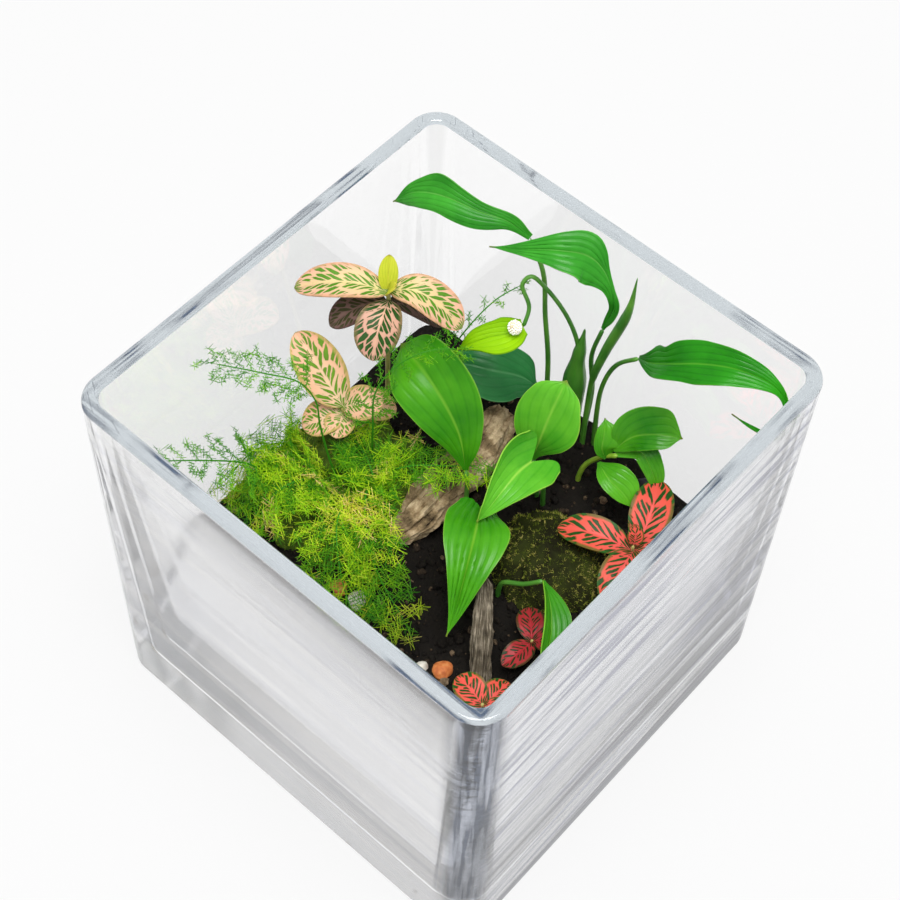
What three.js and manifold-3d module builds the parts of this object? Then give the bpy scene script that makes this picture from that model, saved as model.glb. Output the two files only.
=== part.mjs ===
// A planted glass cube: a thick moulded glass vase that holds drainage gravel, soil, moss,
// driftwood and pebbles, and in them a peace lily, nerve plants, a feathery asparagus fern
// and a round-leaved creeper. Millimetres, +Z up, origin at the centre of the vase's base.
import * as THREE from 'three';
import { mergeVertices } from 'three/addons/utils/BufferGeometryUtils.js';
import Module from 'manifold-3d';

const wasm = await Module();
wasm.setup();

// Driving dimensions of the vase
const VASE_SIDE = 200;
const VASE_HEIGHT = 198;
const RIM_WALL = 6.4;
const CORNER_RADIUS = 13;
const CAVITY_CORNER = 8;
const BASE_THICKNESS = 18;
const STRAIGHT_TOP = 14;
const WALL_DRAFT = THREE.MathUtils.degToRad(3);
const CORNER_STEPS = 4;

// Driving dimensions of the planting
const CLEARANCE = 0.3;
const GRAVEL_TOP = 36;
const SOIL_LEVEL = 76;
const ROOT_DEPTH = 12;
const LEAF_THICKNESS = 0.7;
const BLADE_END = 0.5;
const EDGE_WAVES = 15;
const LOBE_FADE = 5;
const STEM_EXIT = 2;
const FERN_STEM_RADIUS = 0.6;
const TWIG_RADIUS = 0.55;
const NEEDLE_LENGTH = 4;
const NEEDLE_FOOT = 0.8;
const NEEDLE_SPACING = 5.6;
const BARE_TIP = 0.4;
const TWIG_SINK = 0.5;
const TWIG_GUARD = 1.6;
const GUARD_STRETCH = 1.3;

const group = new THREE.Group();
const vector = (point) => new THREE.Vector3(...point);

// Materials
const finish = (color, roughness, metalness = 0) =>
  new THREE.MeshStandardMaterial({ color, roughness, metalness });

const clearGlass = finish('#dfe8ec', 0.05);
clearGlass.transparent = true;
clearGlass.opacity = 0.35;
const gravelFinish = finish('#8d8577', 0.9);
const soilFinish = finish('#1d1814', 0.95);
const greenMoss = finish('#4e7f1c', 0.95);
const oliveMoss = finish('#55501f', 0.95);
const oldWood = finish('#6d5844', 0.85);
const greyWood = finish('#8a7c6a', 0.85);
const orangeStone = finish('#b9652f', 0.6);
const whiteStone = finish('#d8d2c6', 0.6);
const blackStone = finish('#22242a', 0.6);
const lilyGreen = finish('#2f8f22', 0.35);
const limeGreen = finish('#9ccc1e', 0.4);
const spadixWhite = finish('#f2eedd', 0.6);
const roundLeafGreen = finish('#2b7a1f', 0.35);
const pinkNerve = finish('#c9a777', 0.5);
const redNerve = finish('#c03a3c', 0.5);
const fernGreen = finish('#5fa51e', 0.6);

// Solids and geometries
function solidOf(geometry) {
  const bare = geometry.clone();
  bare.deleteAttribute('normal');
  bare.deleteAttribute('uv');
  const merged = mergeVertices(bare);
  return new wasm.Manifold(new wasm.Mesh({
    numProp: 3,
    vertProperties: new Float32Array(merged.attributes.position.array),
    triVerts: new Uint32Array(merged.index.array),
  }));
}

function geometryOf(solid) {
  const mesh = solid.getMesh();
  const geometry = new THREE.BufferGeometry();
  geometry.setAttribute('position', new THREE.BufferAttribute(mesh.vertProperties, 3));
  geometry.setIndex(new THREE.BufferAttribute(mesh.triVerts, 1));
  geometry.computeVertexNormals();
  return geometry;
}

function add(name, solid, material) {
  const mesh = new THREE.Mesh(geometryOf(solid), material);
  mesh.name = name;
  group.add(mesh);
  return solid;
}

// A closed skin through loops of equal length, with a fan over the first and the last loop
function skin(loops) {
  const sides = loops[0].length;
  const points = loops.flat();
  const faces = [];
  for (let row = 0; row + 1 < loops.length; row += 1) {
    for (let side = 0; side < sides; side += 1) {
      const a = row * sides + side;
      const b = row * sides + ((side + 1) % sides);
      faces.push(a, b, b + sides, a, b + sides, a + sides);
    }
  }
  const cap = (row, outward) => {
    const centre = new THREE.Vector3();
    loops[row].forEach((point) => centre.add(point));
    points.push(centre.divideScalar(sides));
    for (let side = 0; side < sides; side += 1) {
      const a = row * sides + side;
      const b = row * sides + ((side + 1) % sides);
      faces.push(points.length - 1, ...(outward ? [a, b] : [b, a]));
    }
  };
  cap(0, false);
  cap(loops.length - 1, true);
  const geometry = new THREE.BufferGeometry().setFromPoints(points);
  geometry.setIndex(faces);
  return solidOf(geometry);
}

// Repeatable chance, and a smooth ripple that roughens natural surfaces
function seeded(seed) {
  let state = seed;
  return () => {
    state = (Math.imul(state, 1664525) + 1013904223) >>> 0;
    return state / 4294967296;
  };
}

function ripple(x, y, z, pitch) {
  const turn = (2 * Math.PI) / pitch;
  const wave = Math.sin(turn * (x + 0.4 * y)) + Math.sin(turn * (1.3 * y - 0.5 * z) + 1.7);
  return (wave + Math.sin(turn * (0.8 * z + 0.9 * x) + 0.6)) / 3;
}

// The vase
const cavityHalf = (z) =>
  VASE_SIDE / 2 - RIM_WALL - Math.max(0, VASE_HEIGHT - STRAIGHT_TOP - z) * Math.tan(WALL_DRAFT);

function squareLoop(half, radius, height) {
  const loop = [];
  for (let corner = 0; corner < 4; corner += 1) {
    for (let step = 0; step <= CORNER_STEPS; step += 1) {
      const angle = (corner + step / CORNER_STEPS) * (Math.PI / 2);
      const middle = (corner + 0.5) * (Math.PI / 2);
      const reach = (half - radius) * Math.SQRT2;
      loop.push(new THREE.Vector3(
        reach * Math.cos(middle) + radius * Math.cos(angle),
        reach * Math.sin(middle) + radius * Math.sin(angle),
        height,
      ));
    }
  }
  return loop;
}

function vase() {
  const half = VASE_SIDE / 2;
  const footRounding = 3;
  const lip = 2;
  const outside = [
    squareLoop(half - footRounding, CORNER_RADIUS - footRounding, 0),
    squareLoop(half - footRounding * 0.3, CORNER_RADIUS - footRounding * 0.3, footRounding * 0.3),
    squareLoop(half, CORNER_RADIUS, footRounding),
    squareLoop(half, CORNER_RADIUS, VASE_HEIGHT - lip),
    squareLoop(half - lip * 0.3, CORNER_RADIUS - lip * 0.3, VASE_HEIGHT - lip * 0.3),
    squareLoop(half - lip, CORNER_RADIUS - lip, VASE_HEIGHT),
  ];
  const mouth = cavityHalf(VASE_HEIGHT);
  const draftTop = VASE_HEIGHT - STRAIGHT_TOP;
  const floorRounding = 5;
  const floorHalf = cavityHalf(BASE_THICKNESS + floorRounding);
  const inside = [
    squareLoop(mouth + lip, CAVITY_CORNER + lip, VASE_HEIGHT),
    squareLoop(mouth + lip * 0.3, CAVITY_CORNER + lip * 0.3, VASE_HEIGHT - lip * 0.3),
    squareLoop(mouth, CAVITY_CORNER, VASE_HEIGHT - lip),
    squareLoop(mouth, CAVITY_CORNER, draftTop),
    squareLoop(floorHalf, CAVITY_CORNER, BASE_THICKNESS + floorRounding),
    squareLoop(floorHalf - floorRounding * 0.4, CAVITY_CORNER, BASE_THICKNESS + floorRounding * 0.3),
    squareLoop(floorHalf - floorRounding * 1.4, CAVITY_CORNER, BASE_THICKNESS),
  ];
  return skin([...outside, ...inside]);
}
add('glass_vase', vase(), clearGlass);

// Drainage gravel on the floor of the vase
const fillLoop = (z, inset = 0) => squareLoop(cavityHalf(z) - CLEARANCE - inset, CAVITY_CORNER, z);

function drainageGravel() {
  const chance = seeded(11);
  const bed = BASE_THICKNESS + CLEARANCE;
  const rough = (loop, depth) => loop.map((point) => {
    const pull = 1 - (depth * chance()) / (VASE_SIDE / 2);
    return new THREE.Vector3(point.x * pull, point.y * pull, point.z);
  });
  const loops = [fillLoop(bed, 8), rough(fillLoop(bed + 6, 0.2), 2)];
  for (let height = bed + 9; height < GRAVEL_TOP; height += 3) {
    loops.push(rough(fillLoop(height), 2.2));
  }
  loops.push(fillLoop(GRAVEL_TOP, 2));
  return skin(loops);
}
add('drainage_gravel', drainageGravel(), gravelFinish);

// Soil: level fill with a low mound under the moss and a rise at the back
const bump = (x, y, at, reach, rise) =>
  rise * Math.exp(-((x - at[0]) ** 2 + (y - at[1]) ** 2) / reach ** 2);

const ground = (x, y) =>
  SOIL_LEVEL + bump(x, y, [-48, -6], 34, 7) + bump(x, y, [10, 84], 26, 8)
  + bump(x, y, [34, 24], 26, 3) + 0.8 * ripple(x, y, 0, 23);

function soilBody(lift) {
  const bottom = GRAVEL_TOP + CLEARANCE;
  const surfaceLoop = (scale) => fillLoop(SOIL_LEVEL).map((point) => {
    const x = point.x * scale;
    const y = point.y * scale;
    return new THREE.Vector3(x, y, ground(x, y) + lift);
  });
  const edge = fillLoop(SOIL_LEVEL).map((point) => {
    const height = ground(point.x, point.y);
    const spread = (cavityHalf(height) - CLEARANCE) / (cavityHalf(SOIL_LEVEL) - CLEARANCE);
    return new THREE.Vector3(point.x * spread, point.y * spread, height + lift);
  });
  const rings = [0.93, 0.82, 0.68, 0.54, 0.4, 0.26, 0.12].map(surfaceLoop);
  return skin([fillLoop(bottom, 1), fillLoop(bottom + 2), edge, ...rings]);
}
let soil = soilBody(0);
const soilCover = soilBody(CLEARANCE);

// Moss mounds that lie on the soil
function mossMound(at, size, top, pitch, seedShift) {
  const base = new THREE.SphereGeometry(1, 18, 12);
  const place = base.attributes.position;
  for (let index = 0; index < place.count; index += 1) {
    const x = place.getX(index);
    const y = place.getY(index);
    const z = place.getZ(index);
    const swell = 1 + 0.09 * ripple(x * size[0] + seedShift, y * size[1], z * size[0], pitch);
    place.setXYZ(
      index,
      at[0] + size[0] * x * swell,
      at[1] + size[1] * y * swell,
      top - size[2] + size[2] * z * swell,
    );
  }
  return solidOf(base).subtract(soilCover);
}
const MOSS_EXIT = 104;
let mossGreen = mossMound([-50, -8], [33.5, 37, 26], MOSS_EXIT - 3, 19, 3);
let mossOlive = mossMound([35, 24], [27, 26, 20], 91, 13, 8);

// A natural limb: rings of uneven radius along a curve
function limb(points, radii, sides, unevenness, seed) {
  const curve = new THREE.CatmullRomCurve3(points.map(vector));
  const steps = radii.length - 1;
  const frames = curve.computeFrenetFrames(steps, false);
  const chance = seeded(seed);
  const loops = radii.map((radius, row) => {
    const centre = curve.getPointAt(row / steps);
    return Array.from({ length: sides }, (unused, side) => {
      const angle = (side / sides) * 2 * Math.PI;
      const reach = radius * (1 + unevenness * (chance() - 0.5));
      return centre.clone()
        .addScaledVector(frames.normals[row], reach * Math.cos(angle))
        .addScaledVector(frames.binormals[row], reach * Math.sin(angle));
    });
  });
  return skin(loops);
}

// Driftwood: a rotten log that lies across the soil, and a grey stick that stands in it
const LOG_LINE = [[-19, -14, 83], [-17, 6, 88], [-18, 30, 89], [-21, 50, 88], [-25, 66, 84]];
const LOG_RADII = [5, 8, 9.5, 9, 9.5, 8.5, 6];
const STICK_LINE = [[53, -40, 66], [47, -33, 82], [37, -21, 95], [28, -10, 103]];
const STICK_RADII = [3.4, 4.2, 4, 4.3, 3.6, 2.6];

const BED_GAP = 0.5;

// The bed of a limb is a little wider, and reaches a little past its lower end
const bed = (line, radii, past, ...form) => limb(
  line.map((point) => point.map((value, axis) => value + past[axis])),
  radii.map((radius) => radius + BED_GAP),
  ...form,
);
const logSolid = limb(LOG_LINE, LOG_RADII, 9, 0.3, 5).subtract(soilCover);
const logBed = bed(LOG_LINE, LOG_RADII, [0, -CLEARANCE, 0], 9, 0.3, 5);
const stickSolid = limb(STICK_LINE, STICK_RADII, 7, 0.25, 9);
soil = soil.subtract(bed(STICK_LINE, STICK_RADII, [0, 0, -CLEARANCE], 7, 0.25, 9));
mossGreen = mossGreen.subtract(logBed);
mossOlive = mossOlive.subtract(logBed);

// Leaves and stalks
function stalk(points, radius, sides, steps) {
  const section = new THREE.Shape();
  for (let side = 0; side < sides; side += 1) {
    const angle = (side / sides) * 2 * Math.PI;
    const x = radius * Math.cos(angle);
    const y = radius * Math.sin(angle);
    if (side === 0) section.moveTo(x, y);
    else section.lineTo(x, y);
  }
  const extrudePath = new THREE.CatmullRomCurve3(points.map(vector), false, 'centripetal');
  return solidOf(new THREE.ExtrudeGeometry(section, { steps, extrudePath }));
}

const LILY_SHAPE = { base: 0.5, tip: 0.95, rows: 7, strips: 4, cup: 0.18 };
const LEANING_SHAPE = { ...LILY_SHAPE, base: 1, tip: 0.7 };
const TAILED_SHAPE = { ...LILY_SHAPE, base: 0.6, tip: 1.35, rows: 10 };
const HEART_SHAPE = { base: 0.35, tip: 0.95, rows: 7, strips: 4, cup: 0.3, lobe: 7 };
const ROUND_SHAPE = { base: 0.5, tip: 0.45, rows: 6, strips: 2, cup: 0.1 };
const NERVE_SHAPE = { base: 0.65, tip: 0.6, rows: 5, strips: 2, cup: 0.12 };

// A blade is a thin shell that follows its rib; "facing" is where its upper side looks
function blade({ rib, width, facing, shape, wave = 0, twist = 0 }) {
  const { base, tip, rows, strips, cup, lobe = 0 } = shape;
  const curve = new THREE.CatmullRomCurve3(rib.map(vector), false, 'centripetal');
  const peak = base / (base + tip);
  const fullness = peak ** base * (1 - peak) ** tip;
  const upper = [];
  const lower = [];
  for (let row = 0; row <= rows; row += 1) {
    const u = row / rows;
    const centre = curve.getPointAt(u);
    const along = curve.getTangentAt(u);
    const look = vector(facing).applyAxisAngle(along, twist * u);
    const right = along.clone().cross(look).normalize();
    const normal = right.clone().cross(along).normalize();
    const outline = (u ** base * (1 - u) ** tip) / fullness;
    const half = Math.max(BLADE_END, (width / 2) * outline);
    for (let strip = 0; strip <= strips; strip += 1) {
      const v = (2 * strip) / strips - 1;
      const flutter = wave * Math.sin(u * EDGE_WAVES + v * 2) * v * v * outline;
      const middle = centre.clone()
        .addScaledVector(right, v * half)
        .addScaledVector(along, -lobe * v * v * (1 - u) ** LOBE_FADE)
        .addScaledVector(normal, cup * Math.abs(v) * half + flutter);
      upper.push(middle.clone().addScaledVector(normal, LEAF_THICKNESS / 2));
      lower.push(middle.clone().addScaledVector(normal, -LEAF_THICKNESS / 2));
    }
  }
  return solidOf(plate(upper, lower, rows, strips));
}

// Two like grids of points, closed round their common border
function plate(upper, lower, rows, strips) {
  const across = strips + 1;
  const shift = upper.length;
  const faces = [];
  for (let row = 0; row < rows; row += 1) {
    for (let strip = 0; strip < strips; strip += 1) {
      const a = row * across + strip;
      const b = a + 1;
      const c = b + across;
      const d = a + across;
      faces.push(a, b, c, a, c, d);
      faces.push(shift + a, shift + c, shift + b, shift + a, shift + d, shift + c);
    }
  }
  const border = [];
  for (let strip = 0; strip < strips; strip += 1) border.push(strip);
  for (let row = 0; row < rows; row += 1) border.push(row * across + strips);
  for (let strip = strips; strip > 0; strip -= 1) border.push(rows * across + strip);
  for (let row = rows; row > 0; row -= 1) border.push(row * across);
  border.forEach((p, index) => {
    const q = border[(index + 1) % border.length];
    faces.push(shift + p, shift + q, q, shift + p, q, p);
  });
  const geometry = new THREE.BufferGeometry().setFromPoints([...upper, ...lower]);
  geometry.setIndex(faces);
  return geometry;
}

// Every stem stands in a plain hole through the moss and soil
const ROOT_GAP = 0.6;
const solids = [];

function dig(at, radius) {
  const height = 60;
  const hole = new THREE.CylinderGeometry(radius + ROOT_GAP, radius + ROOT_GAP, height, 6);
  hole.rotateX(Math.PI / 2);
  hole.translate(at[0], at[1], SOIL_LEVEL - ROOT_DEPTH - CLEARANCE + height / 2);
  const tool = solidOf(hole);
  soil = soil.subtract(tool);
  mossGreen = mossGreen.subtract(tool);
  mossOlive = mossOlive.subtract(tool);
}

// The first points of a stem: its foot, and where it leaves the ground
const rooted = ([x, y], exit = ground(x, y) + STEM_EXIT) =>
  [[x, y, SOIL_LEVEL - ROOT_DEPTH], [x, y, exit - 3], [x, y, exit]];

function plant(name, solid, material) {
  solids.push(solid);
  add(name, solid, material);
}

// Peace lily: leaves on long stalks that rise from one crown at the back
const LILY_STALK = 1.2;
const LILY_LEAVES = [
  {
    name: 'lily_leaf_back', root: [-12, 77], width: 15, facing: [0, -0.3, 1], twist: 0.4,
    stem: [[-13, 76, 125], [-17, 76, 152], [-20, 77, 177]], shape: LEANING_SHAPE,
    rib: [[-25, 75, 192], [-34, 70, 197], [-48, 65, 200], [-66, 62, 197], [-85, 58, 183]],
  },
  {
    name: 'lily_leaf_top', root: [6.5, 80.5], width: 18, facing: [0.15, -0.45, 0.88],
    stem: [[8, 80, 120], [6, 79, 142], [10, 79, 165]],
    rib: [[12, 77, 186], [7, 76, 198], [-5, 72, 205], [-21, 66, 202], [-38, 61, 192]],
  },
  {
    name: 'lily_spear_leaf', root: [9, 77], width: 5, facing: [-0.8, -0.6, 0],
    stem: [[9, 77, 125]],
    rib: [[10, 76.5, 135], [14, 76, 156], [22, 75, 190], [24, 74, 214]],
  },
  {
    name: 'lily_leaf_right', root: [12.5, 80.5], width: 22, facing: [-0.1, -0.7, 0.7], wave: 1.2,
    stem: [[12.5, 80, 125], [17, 81, 144]], shape: TAILED_SHAPE,
    rib: [[27, 82, 158], [46, 79, 176], [63, 79, 187], [79, 80, 186], [86, 80, 173], [80, 81, 161],
      [71, 81, 158]],
  },
  {
    name: 'lily_leaf_shade', root: [-17, 74], width: 28, facing: [0.1, -0.3, 1],
    stem: [[-16, 73, 96]],
    rib: [[-17, 71, 104], [-24, 65, 114], [-35, 58, 117], [-47, 50, 112]],
  },
  {
    name: 'lily_leaf_front', root: [10, 46], width: 27, facing: [0.25, -0.8, 0.45],
    stem: [],
    rib: [[8, 46, 102], [10, 51, 127], [9, 57, 143], [5, 66, 146], [0, 75, 137]],
  },
  {
    name: 'lily_leaf_broad', root: [-5, 16], width: 32, facing: [0.4, -0.5, 0.75],
    stem: [],
    rib: [[-4, 17, 113], [-13, 18, 130], [-27, 20, 146], [-45, 25, 153], [-59, 30, 147]],
  },
  {
    name: 'lily_leaf_long', root: [7, 24], width: 26, facing: [0.15, -0.35, 0.95],
    stem: [[6, 19, 98]],
    rib: [[9, 9, 111], [18, -6, 115], [27, -22, 108], [33, -36, 96]],
  },
  {
    name: 'lily_leaf_low', root: [29, -1], width: 24, facing: [0.3, -0.1, 0.95],
    stem: [],
    rib: [[31, -1, 90], [40, 0, 96], [50, 0, 103], [58, -8, 105], [65, -22, 98]],
  },
];
LILY_LEAVES.forEach((leaf) => {
  dig(leaf.root, LILY_STALK);
  const stem = stalk([...rooted(leaf.root), ...leaf.stem, leaf.rib[0]], LILY_STALK, 5, 6);
  plant(leaf.name, stem.add(blade({ shape: LILY_SHAPE, ...leaf })), lilyGreen);
});

function heartLeaf() {
  const root = [15, 44];
  const rib = [[16, 33, 127], [18, 19, 128], [15, 2, 118]];
  dig(root, LILY_STALK);
  const stem = stalk([...rooted(root), [15, 40, 110], rib[0]], LILY_STALK, 5, 6);
  return stem.add(blade({ rib, width: 29, facing: [0.2, -0.2, 0.95], shape: HEART_SHAPE }));
}
plant('lily_leaf_heart', heartLeaf(), lilyGreen);

// The bloom: a stalk out of its sheath, a lime spathe that hangs, and a small white spadix
const SPATHE_BASE = [-15, 59, 162];
function bloom() {
  const root = [1, 78];
  const sheathRadii = [2, 2, 2.4, 3.6, 2.2, 0.5];
  dig(root, sheathRadii[0]);
  const sheath = limb(
    [[1, 78, SOIL_LEVEL - ROOT_DEPTH], [1, 78, 100], [0, 78, 125], [1, 79, 156]],
    sheathRadii,
    6,
    0,
    1,
  );
  const line = [[1, 78, 120], [0, 78, 142], [-5, 75, 161], [-13, 69, 179], [-18, 65, 186],
    [-20, 62.5, 182], [-16, 63, 170], SPATHE_BASE];
  const spathe = blade({
    rib: [SPATHE_BASE, [-20, 51, 159], [-26, 45, 155], [-33, 40, 149]],
    width: 18,
    facing: [0.2, -0.3, 0.9],
    shape: { ...LILY_SHAPE, base: 0.5, cup: 0.25 },
  });
  return sheath.add(stalk(line, 0.9, 4, 16)).add(spathe);
}
plant('lily_bloom', bloom(), limeGreen);

const SPADIX_AT = [-15.5, 54, 166.2];
const SPADIX_RADIUS = 3;
const SPADIX_STIPE = 0.8;
const STIPE_START = 1.4;

// The spadix is a small knobbly head on a stipe that ends just clear of the spathe's base
function spadix() {
  const base = new THREE.SphereGeometry(1, 10, 8);
  const place = base.attributes.position;
  for (let index = 0; index < place.count; index += 1) {
    const swell = 1 + 0.12 * ripple(place.getX(index) * 8, place.getY(index) * 8, 0, 5);
    place.setXYZ(
      index,
      SPADIX_RADIUS * swell * place.getX(index),
      SPADIX_RADIUS * swell * place.getY(index),
      1.1 * SPADIX_RADIUS * swell * place.getZ(index),
    );
  }
  base.translate(...SPADIX_AT);
  const foot = vector(SPATHE_BASE);
  foot.addScaledVector(vector(SPADIX_AT).sub(foot).normalize(), STIPE_START);
  const line = [foot.toArray(), foot.clone().lerp(vector(SPADIX_AT), 0.5).toArray(), SPADIX_AT];
  return solidOf(base).add(stalk(line, SPADIX_STIPE, 5, 2));
}
plant('lily_spadix', spadix(), spadixWhite);

// A whorl of leaves on one stem
function whorl({ root, exit, stem, leaves, radius }, shape) {
  dig(root, radius);
  let solid = stalk([...rooted(root, exit), ...stem], radius, 5, 3 + stem.length);
  leaves.forEach((leaf) => {
    solid = solid.add(blade({ shape, ...leaf }));
  });
  return solid;
}

// Round-leaved creeper at the back right
const CREEPER = {
  root: [18, 64],
  stem: [[20, 65, 92], [27, 66, 104], [34, 66, 112]],
  radius: 1.3,
  leaves: [
    { rib: [[33, 66, 111], [32, 63, 120], [28, 65, 128], [23, 67, 131]], width: 17,
      facing: [0.5, -0.6, 0.6] },
    { rib: [[34, 66, 112], [41, 70, 119], [46, 75, 126], [48, 82, 128]], width: 23,
      facing: [0.3, -0.5, 0.8] },
    { rib: [[34, 66, 112], [42, 69, 115], [50, 70, 113], [57, 71, 107]], width: 18,
      facing: [0.3, -0.4, 0.8] },
    { rib: [[30, 66, 107], [34, 62, 106], [41, 60, 104], [48, 60, 100]], width: 18,
      facing: [0.2, -0.4, 0.9] },
  ],
};
plant('creeper_round_leaves', whorl(CREEPER, ROUND_SHAPE), roundLeafGreen);

// Nerve plants, pink at the left and red at the right
const PINK_UPPER = {
  root: [-63, 32],
  exit: MOSS_EXIT,
  stem: [[-62, 31, 120], [-60, 29, 160], [-59.5, 28.5, 176]],
  radius: 1.1,
  leaves: [
    { rib: [[-59, 28, 175], [-70, 20, 179], [-80, 12, 178], [-88, 5, 174]], width: 16,
      facing: [0.1, -0.1, 1] },
    { rib: [[-60, 29, 175], [-50, 34, 178], [-40, 38, 173], [-31, 40, 165]], width: 16,
      facing: [0.1, -0.2, 1] },
    { rib: [[-59, 28, 170], [-56, 22, 170], [-53, 15, 166], [-49, 8, 159]], width: 19,
      facing: [0.2, -0.5, 0.8] },
    { rib: [[-60, 28, 169], [-65, 22, 168], [-70, 15, 164], [-73, 9, 159]], width: 14,
      facing: [0, -0.3, 1] },
    { rib: [[-60, 30, 168], [-53, 35, 167], [-47, 40, 162], [-42, 44, 155]], width: 14,
      facing: [0, -0.2, 1] },
    { rib: [[-59.5, 28, 174], [-62, 31, 181], [-65, 35, 187]], width: 8, facing: [0.5, -0.5, 0.6] },
    { rib: [[-59.5, 28, 174], [-57, 27, 180], [-54, 27, 184]], width: 6, facing: [-0.4, -0.4, 0.7] },
  ],
};
plant('nerve_plant_pink_tall', whorl(PINK_UPPER, NERVE_SHAPE), pinkNerve);

const PINK_LOWER = {
  root: [-61, 4],
  exit: MOSS_EXIT,
  stem: [[-60, 2, 113], [-59, 1, 126]],
  radius: 1.1,
  leaves: [
    { rib: [[-59, 1, 125], [-67, 1, 134], [-77, 2, 143], [-87, 3, 148]], width: 20,
      facing: [0.6, -0.4, 0.7] },
    { rib: [[-59, 1, 125], [-53, 4, 130], [-46, 11, 131]], width: 15, facing: [0.2, -0.4, 0.9] },
    { rib: [[-59, 1, 121], [-62, -6, 122], [-68, -14, 118]], width: 16, facing: [0.1, -0.2, 1] },
    { rib: [[-59, 2, 120], [-56, -4, 122], [-53, -10, 120]], width: 13, facing: [0.1, -0.2, 1] },
    { rib: [[-59, 2, 118], [-54, 11, 120], [-47, 20, 115]], width: 15, facing: [0.1, -0.2, 1] },
  ],
};
plant('nerve_plant_pink_low', whorl(PINK_LOWER, NERVE_SHAPE), pinkNerve);

const RED_RIGHT = {
  root: [62, 46],
  stem: [[61, 45, 94], [61, 45, 97]],
  radius: 1,
  leaves: [
    { rib: [[61, 44, 94], [51, 40, 97], [41, 36, 97], [32, 32, 94]], width: 16,
      facing: [0.1, -0.1, 1] },
    { rib: [[61, 46, 94], [60, 54, 99], [56, 64, 103], [51, 73, 103]], width: 18,
      facing: [0.1, -0.3, 1] },
    { rib: [[62, 44, 94], [64, 36, 97], [66, 27, 96], [67, 19, 92]], width: 16, facing: [0, 0.1, 1] },
    { rib: [[62, 45, 94], [69, 47, 97], [76, 50, 96], [83, 52, 92]], width: 14, facing: [0, 0, 1] },
    { rib: [[61, 45, 96], [60, 47, 101], [57, 49, 104]], width: 7, facing: [0.3, -0.4, 0.8] },
  ],
};
plant('nerve_plant_red_right', whorl(RED_RIGHT, NERVE_SHAPE), redNerve);

const RED_MIDDLE = {
  root: [56, -12],
  stem: [[56, -12, 84], [56, -12, 88]],
  radius: 0.9,
  leaves: [
    { rib: [[56, -12, 86], [51, -7, 88], [45, -1, 86]], width: 12, facing: [0.1, -0.2, 1] },
    { rib: [[56, -12, 86], [56, -20, 88], [54, -28, 86]], width: 11, facing: [0, -0.1, 1] },
    { rib: [[56, -12, 87], [62, -8, 89], [69, -3, 87]], width: 12, facing: [0, -0.1, 1] },
  ],
};
plant('nerve_plant_red_middle', whorl(RED_MIDDLE, NERVE_SHAPE), redNerve);

const RED_FRONT = {
  root: [60, -47],
  stem: [[60, -47, 84], [60, -47, 89]],
  radius: 0.9,
  leaves: [
    { rib: [[60, -47, 87], [53, -46, 90], [45, -45, 89]], width: 13, facing: [0.1, -0.1, 1] },
    { rib: [[60, -47, 86], [61, -40, 88], [61, -32, 86]], width: 12, facing: [0, -0.1, 1] },
    { rib: [[60, -47, 87], [66, -46, 89], [74, -48, 87]], width: 12, facing: [0, 0, 1] },
    { rib: [[60, -47, 86], [60, -53, 88], [58, -60, 86]], width: 12, facing: [0, 0, 1] },
  ],
};
plant('nerve_plant_red_front', whorl(RED_FRONT, NERVE_SHAPE), redNerve);

// Pebbles that lie on the soil
const PEBBLES = [
  { name: 'pebble_orange_left', at: [-21, -43], size: [4, 3.4, 2.8], material: orangeStone },
  { name: 'pebble_orange_front', at: [35, -42], size: [4.4, 3.8, 3], material: orangeStone },
  { name: 'pebble_white_left', at: [-12, -42], size: [4.6, 3.6, 3], material: whiteStone },
  { name: 'pebble_white_middle', at: [-29, -52], size: [4, 3, 2.6], material: whiteStone },
  { name: 'pebble_white_front', at: [28, -47], size: [3, 2.6, 2.4], material: whiteStone },
  { name: 'pebble_white_right', at: [70, 12], size: [6, 4.6, 3.6], material: whiteStone },
  { name: 'stone_black_back', at: [44, 80], size: [7, 5, 5], material: blackStone },
  { name: 'stone_black_right', at: [68, 70], size: [8, 7, 6], material: blackStone },
  { name: 'stone_black_corner', at: [78, -20], size: [6, 7, 5], material: blackStone },
  { name: 'stone_black_front', at: [8, -70], size: [8, 6, 5], material: blackStone },
];

function stone(at, size, turn) {
  const base = new THREE.IcosahedronGeometry(1, 1);
  const place = base.attributes.position;
  for (let index = 0; index < place.count; index += 1) {
    const x = place.getX(index);
    const y = place.getY(index);
    const z = place.getZ(index);
    const swell = 1 + 0.12 * ripple(x + turn, y, z, 2.1);
    place.setXYZ(index, x * swell * size[0], y * swell * size[1], z * swell * size[2]);
  }
  base.rotateZ(turn);
  base.translate(at[0], at[1], ground(at[0], at[1]) + size[2] * 0.45);
  return solidOf(base).subtract(soilCover);
}
PEBBLES.forEach(({ name, at, size, material }, index) => {
  plant(name, stone(at, size, index * 1.1), material);
});

// Asparagus fern: arching stems with side twigs, and needles in tufts along them
const overlapsAny = (piece) => {
  const box = piece.boundingBox();
  return [soil, mossGreen, mossOlive, logSolid, stickSolid, ...solids].some((other) => {
    const near = other.boundingBox();
    const apart = [0, 1, 2].some((axis) => box.max[axis] < near.min[axis]
      || box.min[axis] > near.max[axis]);
    return !apart && !piece.intersect(other).isEmpty();
  });
};

function spike(from, direction, length, radius, sides) {
  const cone = new THREE.ConeGeometry(radius, length, sides, 1);
  cone.translate(0, length / 2, 0);
  cone.applyQuaternion(new THREE.Quaternion().setFromUnitVectors(
    new THREE.Vector3(0, 1, 0),
    direction,
  ));
  cone.translate(from.x, from.y, from.z);
  return solidOf(cone);
}

const insideVase = (point) => {
  const limit = cavityHalf(point.z) - 1.5;
  return Math.max(Math.abs(point.x), Math.abs(point.y)) < limit;
};

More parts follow.
